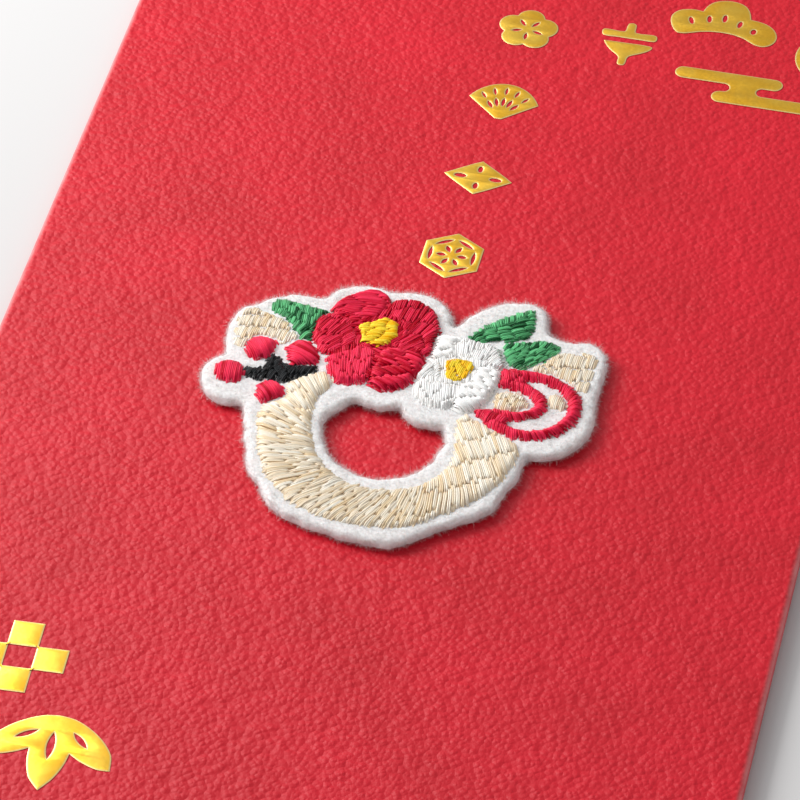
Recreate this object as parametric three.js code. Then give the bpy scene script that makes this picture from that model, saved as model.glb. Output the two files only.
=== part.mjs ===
// Money envelope of embossed red paper, with an embroidered felt wreath glued to its front.
// It lies on its back: +X to its right, +Y towards the crease of its flap, +Z out of its front.
// The sheet is one piece of paper, split here at its creases so that the flap can turn.

import * as THREE from "three";

// Driving dimensions, in millimetres.
const envelopeWidth = 70;
const envelopeHeight = 115;
const paper = 0.25; // thickness of the paper
const glueFilm = 0.05; // dried glue between two layers of paper
const pocketGap = 0.4; // free height inside the empty pocket
const seamLap = 8; // how far the two side panels lap at the back
const joggleRun = 0.8; // length of the step where the left panel climbs over the right one
const joggleClearance = 0.6; // from the foot of that step to the right panel's free edge
const mouthDrop = 4; // from the top crease down to the side panels' upper edges
const cutInset = 0.4; // how far the die-cut edges stand in from the folded sides
const topFlapDepth = 22;
const topFlapTaper = 5; // how much each side of the top flap leans in
const bottomFlapDepth = 17;
const bottomFlapTaper = 3;
const flapCorner = 4; // radius of the flaps' free corners
const flapClearance = 0.1; // between the turning flap and its crease
const seamGlueInset = 1; // from the seam glue to the edges of the lap
const bottomGlueWidth = 6;
const bottomGlueInset = 2; // from the bottom glue to the flap's free edge

const feltThickness = 0.9;
const feltEdgeRound = 0.12;
const feltGlue = 0.1; // thickness of the glue ring under the felt
const feltGlueInner = 6.9; // inner radius of that ring
const feltGlueOuter = 9.9;
const patchDrop = 9.8; // from the envelope's centre down to the centre of the wreath
const patchGrid = 1; // size of one square of the patch's drawing
const stitchHeight = 0.35; // satin stitches of straw, leaves and twig
const flowerHeight = 0.5; // the petals lie on an underlay, so they stand higher
const berryHeight = 0.55;
const cordHeight = 0.55;
const stitchInset = 0.22; // how far a stitched area rounds over at its edge
const cordWidth = 0.88; // of the red cord, across its stitches

const foil = 0.05; // thickness of the hot-stamped gold
const printGrid = 1; // size of one square of the prints' drawing
const ornamentPitch = 10.4; // between the ornaments of the column
const firstOrnamentDrop = 12.4; // from the top edge down to the first ornament's centre
const cornerPrintX = 26; // from the right edge to the spinning top's stem
const cornerPrintY = 11.1; // from the top edge to the spinning top's band
const lowPrintX = 12.4; // from the left edge to the middle of the checker
const lowPrintY = 17.8; // from the bottom edge to the middle of the checker

// Levels, counted up from the surface that the envelope lies on.
const panelBottom = paper + glueFilm;
const panelTop = panelBottom + paper;
const lapBottom = panelTop + glueFilm;
const lapTop = lapBottom + paper;
const frontBottom = lapTop + pocketGap;
const frontTop = frontBottom + paper;

const sideRadius = (frontTop - panelBottom) / 2;
const endRadius = frontTop / 2;
const panelLeft = -envelopeWidth / 2 + sideRadius;
const panelRight = envelopeWidth / 2 - sideRadius;
const bottomCrease = -envelopeHeight / 2 + endRadius;
const topCrease = envelopeHeight / 2 - endRadius;
const mouth = topCrease - mouthDrop;
const flapHalfWidth = envelopeWidth / 2 - cutInset;
const seamLeft = -seamLap / 2;
const seamRight = seamLap / 2;

function material(color, roughness, metalness = 0) {
  return new THREE.MeshStandardMaterial({ color, roughness, metalness });
}

const redPaper = material("#c8202f", 0.75);
const clearGlue = material("#e8e2d0", 0.4);
const whiteFelt = material("#efe9e4", 0.95);
const strawThread = material("#e6d2b0", 0.55);
const crimsonThread = material("#c4102c", 0.5);
const leafThread = material("#2f8a57", 0.5);
const whiteThread = material("#f2f0ee", 0.5);
const yellowThread = material("#f3c02c", 0.5);
const blackThread = material("#16151a", 0.55);
const goldFoil = material("#cfa032", 0.3, 1);

function named(name, geometry, finish) {
  const mesh = new THREE.Mesh(geometry, finish);
  mesh.name = name;
  return mesh;
}

function vectors(points, grid = 1) {
  return points.map(([x, y]) => new THREE.Vector2(x * grid, y * grid));
}

// A smooth line through the points, open or closed.
function smoothLine(points, closed, stepsPerSpan = 2) {
  const knots = points.map((p) => new THREE.Vector3(p.x, p.y, 0));
  const curve = new THREE.CatmullRomCurve3(knots, closed, "centripetal");
  const spans = closed ? knots.length : knots.length - 1;
  const line = [];
  for (let i = 0; i < spans * stepsPerSpan + (closed ? 0 : 1); i++) {
    const p = curve.getPoint(i / (spans * stepsPerSpan));
    line.push(new THREE.Vector2(p.x, p.y));
  }
  return line;
}

function loop(points, grid = patchGrid, steps = 2) {
  return smoothLine(vectors(points, grid), true, steps);
}

// An outline with corners: each run starts at a corner and ends at the next run's first point.
function cornered(runs, grid, steps = 3) {
  const line = [];
  runs.forEach((run, i) => {
    const next = runs[(i + 1) % runs.length][0];
    line.push(...smoothLine(vectors([...run, next], grid), false, steps).slice(0, -1));
  });
  return line;
}

function counterClockwise(line) {
  return THREE.ShapeUtils.isClockWise(line) ? [...line].reverse() : line;
}

// Each point moved inwards, square to the line there.
function inset(line, distance) {
  return line.map((p, i) => {
    const before = line[(i + line.length - 1) % line.length];
    const after = line[(i + 1) % line.length];
    const along = after.clone().sub(before).normalize();
    return new THREE.Vector2(p.x - along.y * distance, p.y + along.x * distance);
  });
}

// A closed solid through rings of equal count, capped at both ends.
function ringSolid(rings, heights) {
  const count = rings[0].length;
  const positions = [];
  const corner = (ring, i) => {
    const p = rings[ring][i % count];
    return [p.x, p.y, heights[ring]];
  };
  for (let ring = 0; ring < rings.length - 1; ring++) {
    for (let i = 0; i < count; i++) {
      positions.push(...corner(ring, i), ...corner(ring, i + 1), ...corner(ring + 1, i + 1));
      positions.push(...corner(ring, i), ...corner(ring + 1, i + 1), ...corner(ring + 1, i));
    }
  }
  const last = rings.length - 1;
  for (const [a, b, c] of THREE.ShapeUtils.triangulateShape(rings[0], [])) {
    positions.push(...corner(0, a), ...corner(0, c), ...corner(0, b));
    positions.push(...corner(last, a), ...corner(last, b), ...corner(last, c));
  }
  const geometry = new THREE.BufferGeometry();
  geometry.setAttribute("position", new THREE.Float32BufferAttribute(positions, 3));
  geometry.computeVertexNormals();
  return geometry;
}

// A stitched area: a flat foot, steep sides and a top that rounds over.
function stitchedArea(name, line, height, finish) {
  const foot = counterClockwise(line);
  const rings = [foot, inset(foot, stitchInset * 0.15), inset(foot, stitchInset)];
  return named(name, ringSolid(rings, [0, height * 0.65, height]), finish);
}

function plate(name, shape, thickness, finish, level) {
  const geometry = new THREE.ExtrudeGeometry(shape, {
    depth: thickness,
    bevelEnabled: false,
    curveSegments: 8,
  });
  const mesh = named(name, geometry, finish);
  mesh.position.z = level;
  return mesh;
}

function polygon(points) {
  return new THREE.Shape(vectors(points));
}

// The section of a folded edge: half a ring that bulges towards +X.
function creaseSection(outerRadius) {
  const section = new THREE.Shape();
  section.absarc(0, 0, outerRadius, -Math.PI / 2, Math.PI / 2, false);
  section.absarc(0, 0, outerRadius - paper, Math.PI / 2, -Math.PI / 2, true);
  return section;
}

function creaseSolid(outerRadius, length) {
  return new THREE.ExtrudeGeometry(creaseSection(outerRadius), {
    depth: length,
    bevelEnabled: false,
    curveSegments: 8,
  });
}

// A folded side of the envelope, from the bottom crease up to the mouth.
function sideCrease(name, side) {
  const mesh = named(name, creaseSolid(sideRadius, mouth - bottomCrease), redPaper);
  mesh.rotation.set(side > 0 ? Math.PI / 2 : -Math.PI / 2, 0, side > 0 ? 0 : Math.PI);
  mesh.position.x = side > 0 ? panelRight : panelLeft;
  mesh.position.y = side > 0 ? mouth : bottomCrease;
  mesh.position.z = panelBottom + sideRadius;
  return mesh;
}

// A folded end of the envelope, across its width.
function endCrease(name, end) {
  const mesh = named(name, creaseSolid(endRadius, 2 * flapHalfWidth), redPaper);
  const turned = new THREE.Matrix4();
  if (end > 0) {
    turned.makeBasis(new THREE.Vector3(0, 1, 0), new THREE.Vector3(0, 0, 1), new THREE.Vector3(1, 0, 0));
    turned.setPosition(-flapHalfWidth, topCrease, endRadius);
  } else {
    turned.makeBasis(new THREE.Vector3(0, -1, 0), new THREE.Vector3(0, 0, 1), new THREE.Vector3(-1, 0, 0));
    turned.setPosition(flapHalfWidth, bottomCrease, endRadius);
  }
  mesh.applyMatrix4(turned);
  return mesh;
}

// A flap drawn from its crease line, y = 0, down to y = -depth.
function flapShape(depth, taper) {
  const half = flapHalfWidth;
  const lean = Math.atan2(taper, depth);
  const reach = flapCorner * Math.tan((Math.PI / 2 - lean) / 2);
  const shape = new THREE.Shape();
  shape.moveTo(half, 0);
  shape.lineTo(-half, 0);
  const left = -half + taper;
  shape.lineTo(left - reach * Math.sin(lean), -depth + reach * Math.cos(lean));
  shape.quadraticCurveTo(left, -depth, left + reach, -depth);
  shape.lineTo(-left - reach, -depth);
  shape.quadraticCurveTo(-left, -depth, -left + reach * Math.sin(lean), -depth + reach * Math.cos(lean));
  shape.closePath();
  return shape;
}

function frontPanel() {
  const wide = flapHalfWidth;
  const shape = polygon([
    [panelLeft, bottomCrease],
    [panelRight, bottomCrease],
    [panelRight, mouth],
    [wide, mouth],
    [wide, topCrease],
    [-wide, topCrease],
    [-wide, mouth],
    [panelLeft, mouth],
  ]);
  return plate("front_panel", shape, paper, redPaper, frontBottom);
}

function rightSidePanel() {
  const shape = polygon([
    [seamLeft, bottomCrease],
    [panelRight, bottomCrease],
    [panelRight, mouth],
    [seamLeft, mouth],
  ]);
  return plate("right_side_panel", shape, paper, redPaper, panelBottom);
}

// The left panel climbs over the right one's free edge and lies inside the lap.
function leftSidePanel() {
  const stepTop = seamLeft - joggleClearance;
  const stepFoot = stepTop - joggleRun;
  const section = polygon([
    [panelLeft, panelBottom],
    [stepFoot, panelBottom],
    [stepTop, lapBottom],
    [seamRight, lapBottom],
    [seamRight, lapTop],
    [stepTop, lapTop],
    [stepFoot, panelTop],
    [panelLeft, panelTop],
  ]);
  const geometry = new THREE.ExtrudeGeometry(section, { depth: mouth - bottomCrease, bevelEnabled: false });
  const mesh = named("left_side_panel", geometry, redPaper);
  mesh.rotation.x = Math.PI / 2;
  mesh.position.y = mouth;
  return mesh;
}

function seamGlue() {
  const shape = polygon([
    [seamLeft + seamGlueInset, bottomCrease + seamGlueInset],
    [seamRight - seamGlueInset, bottomCrease + seamGlueInset],
    [seamRight - seamGlueInset, mouth - seamGlueInset],
    [seamLeft + seamGlueInset, mouth - seamGlueInset],
  ]);
  return plate("seam_glue", shape, glueFilm, clearGlue, panelTop);
}

function bottomFlap() {
  const mesh = plate("bottom_flap", flapShape(bottomFlapDepth, bottomFlapTaper), paper, redPaper, 0);
  mesh.rotation.x = Math.PI;
  mesh.position.set(0, bottomCrease, paper);
  return mesh;
}

function bottomGlue() {
  const top = bottomCrease + bottomFlapDepth - bottomGlueInset;
  const half = flapHalfWidth - bottomFlapTaper - flapCorner;
  const shape = polygon([
    [-half, top - bottomGlueWidth],
    [half, top - bottomGlueWidth],
    [half, top],
    [-half, top],
  ]);
  return plate("bottom_flap_glue", shape, glueFilm, clearGlue, paper);
}

// The closing flap starts clear of the crease, so that it can turn half a turn about the crease's axis.
function topFlap() {
  const shellRadius = endRadius + flapClearance;
  const innerFace = endRadius - paper;
  const start = Math.sqrt(shellRadius ** 2 - innerFace ** 2);
  const mesh = plate("top_flap", flapShape(topFlapDepth - start, topFlapTaper), paper, redPaper, 0);
  mesh.position.y = topCrease - start;
  return mesh;
}

function envelope() {
  const group = new THREE.Group();
  group.add(frontPanel(), leftSidePanel(), rightSidePanel());
  group.add(sideCrease("left_crease", -1), sideCrease("right_crease", 1));
  group.add(endCrease("bottom_crease", -1), endCrease("top_crease", 1));
  group.add(bottomFlap(), topFlap(), seamGlue(), bottomGlue());
  return group;
}

// The patch's drawing: x to the right and y up from the centre of the wreath.
const feltOutline = [
  [2.3, 14], [1.9, 15.2], [1.3, 16.3], [0.4, 17.05], [-0.8, 17.5], [-2, 17.55], [-3.6, 17.2],
  [-4.9, 17.5], [-6.3, 17.4], [-7.5, 16.95], [-8.4, 16.2], [-9, 15.1], [-9.9, 15.05], [-11, 15.15],
  [-12.3, 14.75], [-13.5, 14.05], [-14.4, 13.1], [-15.3, 12.6], [-15.8, 11.5], [-16, 10.1],
  [-15.9, 8.7], [-15.6, 7.6], [-15.4, 6.6], [-16.1, 6.1], [-16.7, 5.1], [-16.8, 3.9], [-16.5, 2.8],
  [-15.8, 1.8], [-14.9, 1.2], [-13.8, 1.1], [-12.8, 1.25], [-12.2, 0.3], [-11.9, -1], [-11.5, -2.4],
  [-11, -3.8], [-10.7, -5.2], [-9.8, -6.7], [-8.7, -8.1], [-7.5, -9.7], [-5.7, -10.8], [-4, -11.3],
  [-1.9, -11.8], [0.9, -12.1], [2.7, -12], [3.8, -11.5], [5.4, -10], [7.4, -8.4], [9.2, -7.1],
  [10.2, -5.6], [10.6, -3.9], [11.3, -1.6], [11.4, 0.4], [12.9, 0.6], [14.2, 1.4], [15.3, 2.7],
  [15.9, 4.5], [15.8, 6.5], [15.6, 9], [15.75, 11.2], [15.5, 13.1], [15, 14.2], [13.7, 14.85],
  [12.1, 14.5], [10.2, 15.2], [9.8, 17], [8.8, 18.3], [7.2, 18.4], [5, 17.5], [3.2, 15.5],
];

const feltHole = [
  [-5.65, 0.4], [-5.5, 1.5], [-5, 2.2], [-4.5, 2.9], [-4.1, 3.4], [-3.5, 3.7], [-2.6, 3.5],
  [-1.4, 3.3], [-0.5, 3.6], [0.1, 3.75], [0.35, 3.3], [0.9, 2.7], [1.7, 2.2], [2.6, 2.05],
  [3.5, 2.15], [4.1, 2.2], [4.5, 1.4], [4.6, 0.4], [4.35, -0.7], [4, -2], [3.5, -3], [2.6, -3.9],
  [1.3, -4.7], [0, -4.9], [-1.4, -4.9], [-2.6, -4.3], [-3.7, -3.6], [-4.8, -2.2], [-5.3, -1],
];

const camelliaPetals = [
  [
    [-7.85, 13.3], [-7.85, 14.2], [-7.3, 15.1], [-6.5, 15.9], [-5.5, 16.5], [-4.6, 16.6],
    [-3.9, 16.3], [-3.42, 15.7], [-3.45, 14.8], [-3.65, 14], [-4.1, 13.25], [-5.3, 12.9], [-6.8, 13.05],
  ],
  [
    [-3.1, 15.7], [-2.2, 16.1], [-1, 16.1], [-0.1, 15.7], [0.6, 15], [1, 14.1], [1.3, 13.1],
    [1.1, 12.1], [1.15, 11.1], [1.15, 10.3], [0.7, 9.9], [-0.9, 10.25], [-2.1, 10.3], [-1.6, 11.3],
    [-1.85, 13.05], [-3, 13.7],
  ],
  [
    [-2.7, 9.7], [-1.8, 10], [-0.8, 9.95], [0.6, 9.6], [0.95, 8.9], [0.75, 8.1], [0.5, 7.3],
    [0.25, 6.4], [-0.2, 5.8], [-1, 5.3], [-2, 5.1], [-2.85, 5.5], [-3.1, 6.4], [-3, 7.6], [-2.9, 8.8],
  ],
  [
    [-3.3, 9.35], [-3.2, 8], [-3.35, 6.8], [-3.4, 5.8], [-4.2, 5.4], [-5, 5.25], [-5.6, 5.2],
    [-6.1, 5.9], [-6.5, 6.6], [-6.9, 7.4], [-6.7, 8.1], [-5.9, 8.6], [-5.1, 9.2], [-4.7, 9.75],
  ],
  [
    [-8, 12.9], [-8.55, 12.3], [-8.7, 11.4], [-8.65, 10.4], [-8.4, 9.7], [-8, 9], [-7.4, 8.3],
    [-6.7, 8.4], [-5.9, 8.9], [-5.2, 9.6], [-5.05, 10.3], [-5.2, 11], [-5.8, 11.8], [-5.3, 12.4],
    [-6.8, 12.75],
  ],
];

const camelliaCentre = [
  [[-5.45, 11.8], [-4.85, 12.3], [-4.15, 12.75]],
  [[-3.2, 13.4]],
  [[-2.1, 12.85], [-2, 12.1]],
  [[-1.8, 11.3], [-2.15, 10.8]],
  [[-2.4, 10.2]],
  [[-3.2, 9.7]],
  [[-4.75, 10.05], [-4.85, 10.9]],
];

const plumPetals = [
  [
    [1.35, 12.3], [2, 12.5], [2.6, 12.5], [3.1, 12.4], [3.15, 11.6], [3.2, 10.8], [3.15, 10.15],
    [2.6, 9.75], [1.95, 9.55], [1.45, 9.65], [1.4, 10.3], [1.5, 11.4],
  ],
  [
    [3.4, 12.5], [4.1, 12.45], [5.1, 12.4], [6.1, 12.2], [6.7, 11.8], [7, 11.2], [7.3, 10.5],
    [7.4, 9.9], [7, 9.6], [6.2, 9.6], [5.4, 9.75], [4.9, 10.1], [4.2, 10.05], [3.5, 10.2], [3.45, 11.1],
  ],
  [
    [5.4, 9.4], [6.4, 9.35], [7.2, 9.3], [7.4, 8.7], [7.4, 8.1], [7.3, 7.4], [7.1, 6.7],
    [6.9, 6], [6.8, 5.4], [6.3, 4.9], [6, 4.4], [5.4, 4.1], [4.8, 4.2], [4.4, 4.7], [4.35, 5.6],
    [4.35, 6.4], [4.6, 7], [4.95, 7.5], [5.25, 8.1], [5.35, 8.8],
  ],
  [
    [1, 6.65], [0.85, 6], [1.15, 5.3], [1.6, 4.8], [2.3, 4.4], [3.2, 4.15], [3.9, 4.3],
    [4.15, 4.9], [4.1, 5.7], [4.05, 6.5], [3.4, 6.85], [2.6, 6.95], [1.7, 6.9],
  ],
  [
    [2.2, 9.15], [1.6, 9.1], [1.25, 8.6], [1, 8], [0.75, 7.4], [1.1, 7.05], [1.9, 7.1],
    [2.65, 7.2], [2.7, 8], [2.5, 8.7],
  ],
];

const plumCentre = [
  [2.7, 9.3], [3.05, 9.65], [3.5, 9.85], [4.2, 9.8], [4.85, 9.75], [5.1, 9.2], [5, 8.5],
  [4.9, 7.9], [4.5, 7.4], [4.1, 7.1], [3.5, 7.2], [3.05, 7.4], [2.95, 8.2], [2.75, 8.8],
];

const leafOutlines = {
  leaf_left: [
    [[-13, 12.9], [-12.9, 13.5], [-12.3, 13.85], [-11.3, 13.8], [-10, 13.65]],
    [[-8.2, 13.35], [-8.7, 12.7], [-8.95, 12], [-8.95, 11], [-8.9, 10.2]],
    [[-9.1, 9.6], [-9.8, 9.85], [-10.3, 10.5], [-10.9, 11.2], [-11.6, 11.9], [-12.5, 12.25]],
  ],
  leaf_right_upper: [
    [[4, 12.95], [4.3, 13.8], [5.1, 14.7], [5.8, 15.6], [6.6, 16.3], [7.5, 17]],
    [[8.3, 17.5], [8.8, 16.6], [8.9, 15.5], [8.8, 14.6]],
    [[8.7, 13.9], [8, 13.65], [7.2, 13.45], [6.3, 13.1], [5.4, 12.75], [4.6, 12.65]],
  ],
  leaf_right_lower: [
    [[6.9, 12.4], [7.2, 12.95], [8, 13.3], [9, 13.6], [10.1, 13.9], [10.9, 13.85]],
    [[11.5, 13.3], [11.1, 12.5], [10.5, 11.6], [9.8, 10.9], [9.1, 10.35]],
    [[8.4, 10.15], [7.8, 10.6], [7.5, 11.2], [7.2, 11.8]],
  ],
};

const berryOutlines = [
  [
    [-13.9, 7.9], [-13.6, 8.7], [-12.9, 8.95], [-12, 8.9], [-11.6, 8.4], [-11.6, 7.6], [-12, 6.7],
    [-12.6, 6.3], [-13.3, 6.6], [-13.8, 7.2],
  ],
  [
    [-10.6, 8.2], [-10.2, 8.9], [-9.5, 9.3], [-8.8, 9.1], [-8.2, 8.5], [-7.8, 7.8], [-7.6, 7.2],
    [-7.9, 6.75], [-8.6, 6.65], [-9.4, 6.45], [-10, 6.8], [-10.2, 7.4],
  ],
  [
    [-15.7, 4.7], [-15.3, 5.4], [-14.5, 5.6], [-13.8, 5.4], [-13.4, 4.8], [-13.4, 4.1], [-13.6, 3.4],
    [-14.2, 3.15], [-15, 3.3], [-15.5, 3.9],
  ],
  [
    [-11.8, 3.2], [-11.3, 3.8], [-10.7, 4], [-10.1, 3.7], [-9.7, 3.2], [-9.5, 2.7], [-9.8, 2.3],
    [-10.3, 1.9], [-10.9, 1.4], [-11.4, 1.7], [-11.7, 2.4],
  ],
];

const twigOutline = [
  [[-13.1, 4.4], [-13.1, 5], [-12.3, 5.15], [-11.6, 5.6], [-11.6, 6.3]],
  [[-11.4, 7.1], [-10.9, 6.7], [-10.5, 6.2], [-9.6, 6.15], [-8.6, 6.35]],
  [[-7.75, 6.5]],
  [[-7.8, 5.95], [-8.5, 5.4], [-9.2, 4.8]],
  [[-9.8, 4.25], [-10.6, 4.35], [-11.6, 4.3], [-12.4, 3.95]],
];

const strawRing = [
  [[-9.5, 4.1], [-8.8, 4.7], [-8.2, 5.25], [-7.5, 5.8], [-6.7, 6]],
  [[-6, 5.15], [-6.2, 4.2], [-6.7, 3.2], [-6.9, 2.2], [-6.8, 1], [-6.6, 0], [-6.2, -1.3], [-5.7, -2.6],
    [-5, -3.8], [-4, -5], [-2.8, -5.9], [-1.2, -6.4], [0.6, -6.4], [2.3, -6], [3.9, -5.1], [5, -3.8],
    [5.6, -2.4], [5.8, -1], [5.6, 0.5], [5.3, 2], [5.2, 3.3]],
  [[5.7, 3.7], [6.4, 3.3], [7.2, 2.9], [8, 2.4], [8.9, 2], [9.7, 1.6]],
  [[10.3, 1.3], [10.6, 0.2], [10.5, -1.2], [10.1, -2.8], [9.4, -4.3], [8.5, -5.7], [7.3, -7],
    [6, -8.1], [4.8, -9.2], [3.4, -10], [1.7, -10.4], [0, -10.6], [-1.7, -10.5], [-3.4, -10.2],
    [-4.9, -9.7], [-6.3, -8.9], [-7.6, -7.8], [-8.7, -6.6], [-9.5, -5], [-10, -3.4], [-10.6, -1.8],
    [-10.8, -0.3], [-10.7, 1], [-10.2, 1.5], [-9.6, 2], [-9.2, 2.7]],
];

const strawEndsLeft = [
  [-14.8, 12.2], [-13.8, 12.3], [-12.8, 12], [-12, 11.7], [-11.2, 11.1], [-10.6, 10.4], [-10.1, 9.8],
  [-10.6, 9.2], [-11, 8.5], [-11.3, 8.6], [-11.5, 9.15], [-12.6, 9.25], [-13.6, 9.2], [-14.1, 8.4],
  [-14.2, 7.4], [-14.8, 7.7], [-15.1, 9], [-15.3, 10], [-15.2, 11.3],
];

const strawEndsRight = [
  [9.6, 10.45], [10.4, 11], [11.05, 11.95], [11.7, 12.8], [12.8, 13.1], [14.5, 13.3], [14.8, 12.2],
  [14.7, 10.6], [14.75, 9.4], [14.5, 8.6], [13.9, 8.9], [13.2, 9.5], [12.3, 9.9], [11.3, 10.15],
  [10.3, 10.2],
];

const strawTufts = {
  straw_tuft_inner: [
    [7.6, 6.4], [8, 7], [8.9, 7.2], [9.8, 6.9], [10.2, 6.2], [9.8, 5.5], [9, 5.1], [8.1, 5.2], [7.6, 5.7],
  ],
  straw_tuft_outer: [
    [11.95, 7.7], [12.6, 7.7], [13.1, 7.2], [13.4, 6.5], [12.9, 6.2], [12.2, 6.4], [11.95, 7],
  ],
};

const cordRoutes = {
  cord_outer_loop: [
    [8, 9.45], [9.4, 9.5], [10.8, 9.5], [12, 9.2], [13, 8.6], [13.8, 7.8], [14.2, 6.8], [14.15, 5.7],
    [13.8, 4.6], [13, 3.5], [12, 2.8], [10.8, 2.5], [9.6, 2.6], [8.7, 3], [7.7, 3.45],
  ],
  cord_inner_loop: [
    [8.1, 8.15], [9.1, 8.1], [10.1, 7.8], [10.9, 7.3], [11.4, 6.5], [11.3, 5.6], [10.6, 4.9],
    [9.6, 4.5], [8.6, 4.4], [7.6, 4.55],
  ],
};

// Both edges of a stitched cord, half its width to each side of its route.
function cordOutline(route) {
  const line = smoothLine(vectors(route, patchGrid), false, 2);
  const half = cordWidth / 2;
  const sides = [[], []];
  line.forEach((p, i) => {
    const before = line[Math.max(i - 1, 0)];
    const after = line[Math.min(i + 1, line.length - 1)];
    const along = after.clone().sub(before).normalize();
    sides[0].push(new THREE.Vector2(p.x - along.y * half, p.y + along.x * half));
    sides[1].push(new THREE.Vector2(p.x + along.y * half, p.y - along.x * half));
  });
  return [...sides[0], ...sides[1].reverse()];
}

function feltBase() {
  const shape = new THREE.Shape(loop(feltOutline));
  shape.holes.push(new THREE.Path(loop(feltHole)));
  const geometry = new THREE.ExtrudeGeometry(shape, {
    depth: feltThickness - 2 * feltEdgeRound,
    bevelThickness: feltEdgeRound,
    bevelSize: feltEdgeRound,
    bevelOffset: -feltEdgeRound,
    bevelSegments: 1,
  });
  const mesh = named("felt_base", geometry, whiteFelt);
  mesh.position.z = feltGlue + feltEdgeRound;
  return mesh;
}

function feltGlueRing() {
  const shape = new THREE.Shape();
  shape.absarc(0, 0, feltGlueOuter, 0, 2 * Math.PI, false);
  const hole = new THREE.Path();
  hole.absarc(0, 0, feltGlueInner, 0, 2 * Math.PI, true);
  shape.holes.push(hole);
  return plate("patch_glue", shape, feltGlue, clearGlue, 0);
}

function embroidery() {
  const group = new THREE.Group();
  group.add(stitchedArea("straw_ring", cornered(strawRing, patchGrid, 2), stitchHeight, strawThread));
  group.add(stitchedArea("straw_ends_left", loop(strawEndsLeft), stitchHeight, strawThread));
  group.add(stitchedArea("straw_ends_right", loop(strawEndsRight), stitchHeight, strawThread));
  for (const [name, points] of Object.entries(strawTufts)) {
    group.add(stitchedArea(name, loop(points), stitchHeight, strawThread));
  }
  for (const [name, runs] of Object.entries(leafOutlines)) {
    group.add(stitchedArea(name, cornered(runs, patchGrid, 2), stitchHeight, leafThread));
  }
  camelliaPetals.forEach((points, i) => {
    group.add(stitchedArea(`camellia_petal_${i + 1}`, loop(points), flowerHeight, crimsonThread));
  });
  const centre = cornered(camelliaCentre, patchGrid, 2);
  group.add(stitchedArea("camellia_centre", centre, flowerHeight, yellowThread));
  plumPetals.forEach((points, i) => {
    group.add(stitchedArea(`plum_petal_${i + 1}`, loop(points), flowerHeight, whiteThread));
  });
  group.add(stitchedArea("plum_centre", loop(plumCentre), flowerHeight, yellowThread));
  berryOutlines.forEach((points, i) => {
    group.add(stitchedArea(`berry_${i + 1}`, loop(points), berryHeight, crimsonThread));
  });
  group.add(stitchedArea("berry_twig", cornered(twigOutline, patchGrid, 2), stitchHeight, blackThread));
  for (const [name, route] of Object.entries(cordRoutes)) {
    group.add(stitchedArea(name, cordOutline(route), cordHeight, crimsonThread));
  }
  return group;
}

function patch() {
  const group = new THREE.Group();
  const threads = embroidery();
  threads.position.z = feltGlue + feltThickness;
  group.add(feltGlueRing(), feltBase(), threads);
  group.position.set(0, -patchDrop, frontTop);
  return group;
}

// A gold print, drawn about its own middle.
function goldPrint(name, shape, x, y, turn = 0) {
  const mesh = plate(name, shape, foil, goldFoil, 0);
  mesh.position.set(x, y, 0);
  mesh.rotation.z = turn;
  return mesh;
}

function shapeOf(line, holes = []) {
  const shape = new THREE.Shape(counterClockwise(line));
  holes.forEach((hole) => shape.holes.push(new THREE.Path(hole)));
  return shape;
}

function ovalHole(x, y, across, along, turn) {
  const [centre, halves] = vectors([[x, y], [across / 2, along / 2]], printGrid);
  const curve = new THREE.EllipseCurve(centre.x, centre.y, halves.x, halves.y, 0, 2 * Math.PI, true, turn);
  return curve.getPoints(10).slice(0, -1);
}

// A slit with two pointed ends.
function slit(from, to, width) {
  const [a, b] = vectors([from, to], printGrid);
  const middle = a.clone().add(b).multiplyScalar(0.5);
  const along = b.clone().sub(a).normalize();
  const side = new THREE.Vector2(-along.y, along.x).multiplyScalar(width * printGrid * 0.5);
  const halfway = [a.clone().lerp(middle, 0.5), b.clone().lerp(middle, 0.5)];
  const bulge = side.clone().multiplyScalar(0.75);
  return [
    a,
    halfway[0].clone().sub(bulge),
    middle.clone().sub(side),
    halfway[1].clone().sub(bulge),
    b,
    halfway[1].clone().add(bulge),
    middle.clone().add(side),
    halfway[0].clone().add(bulge),
  ];
}

function spinningTopBand() {
  return shapeOf(
    loop(
      [
        [-2.5, 0.1], [-2.35, 0.42], [-1.6, 0.45], [-0.5, 0.45], [-0.42, 0.9], [-0.35, 1.55],
        [0, 1.72], [0.35, 1.55], [0.42, 0.9], [0.5, 0.45], [1.6, 0.45], [2.35, 0.42], [2.5, 0.1],
        [2.5, -0.2], [2.3, -0.45], [1.2, -0.47], [-1.2, -0.47], [-2.3, -0.45],
      ],
      printGrid,
    ),
  );
}

function spinningTopBody() {
  return shapeOf(
    cornered(
      [
        [
          [-2.1, -1.15], [0, -1.12], [2.1, -1.15], [2.32, -1.3],
          [2.25, -1.6], [1.7, -2.15], [1, -2.6], [0.5, -2.95],
        ],
        [[0.38, -3.3], [0.36, -4], [0.2, -4.25], [-0.2, -4.25], [-0.36, -4]],
        [[-0.38, -3.3], [-0.6, -2.95], [-1.2, -2.45], [-1.8, -1.75]],
      ],
      printGrid,
      2,
    ),
  );
}

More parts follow.
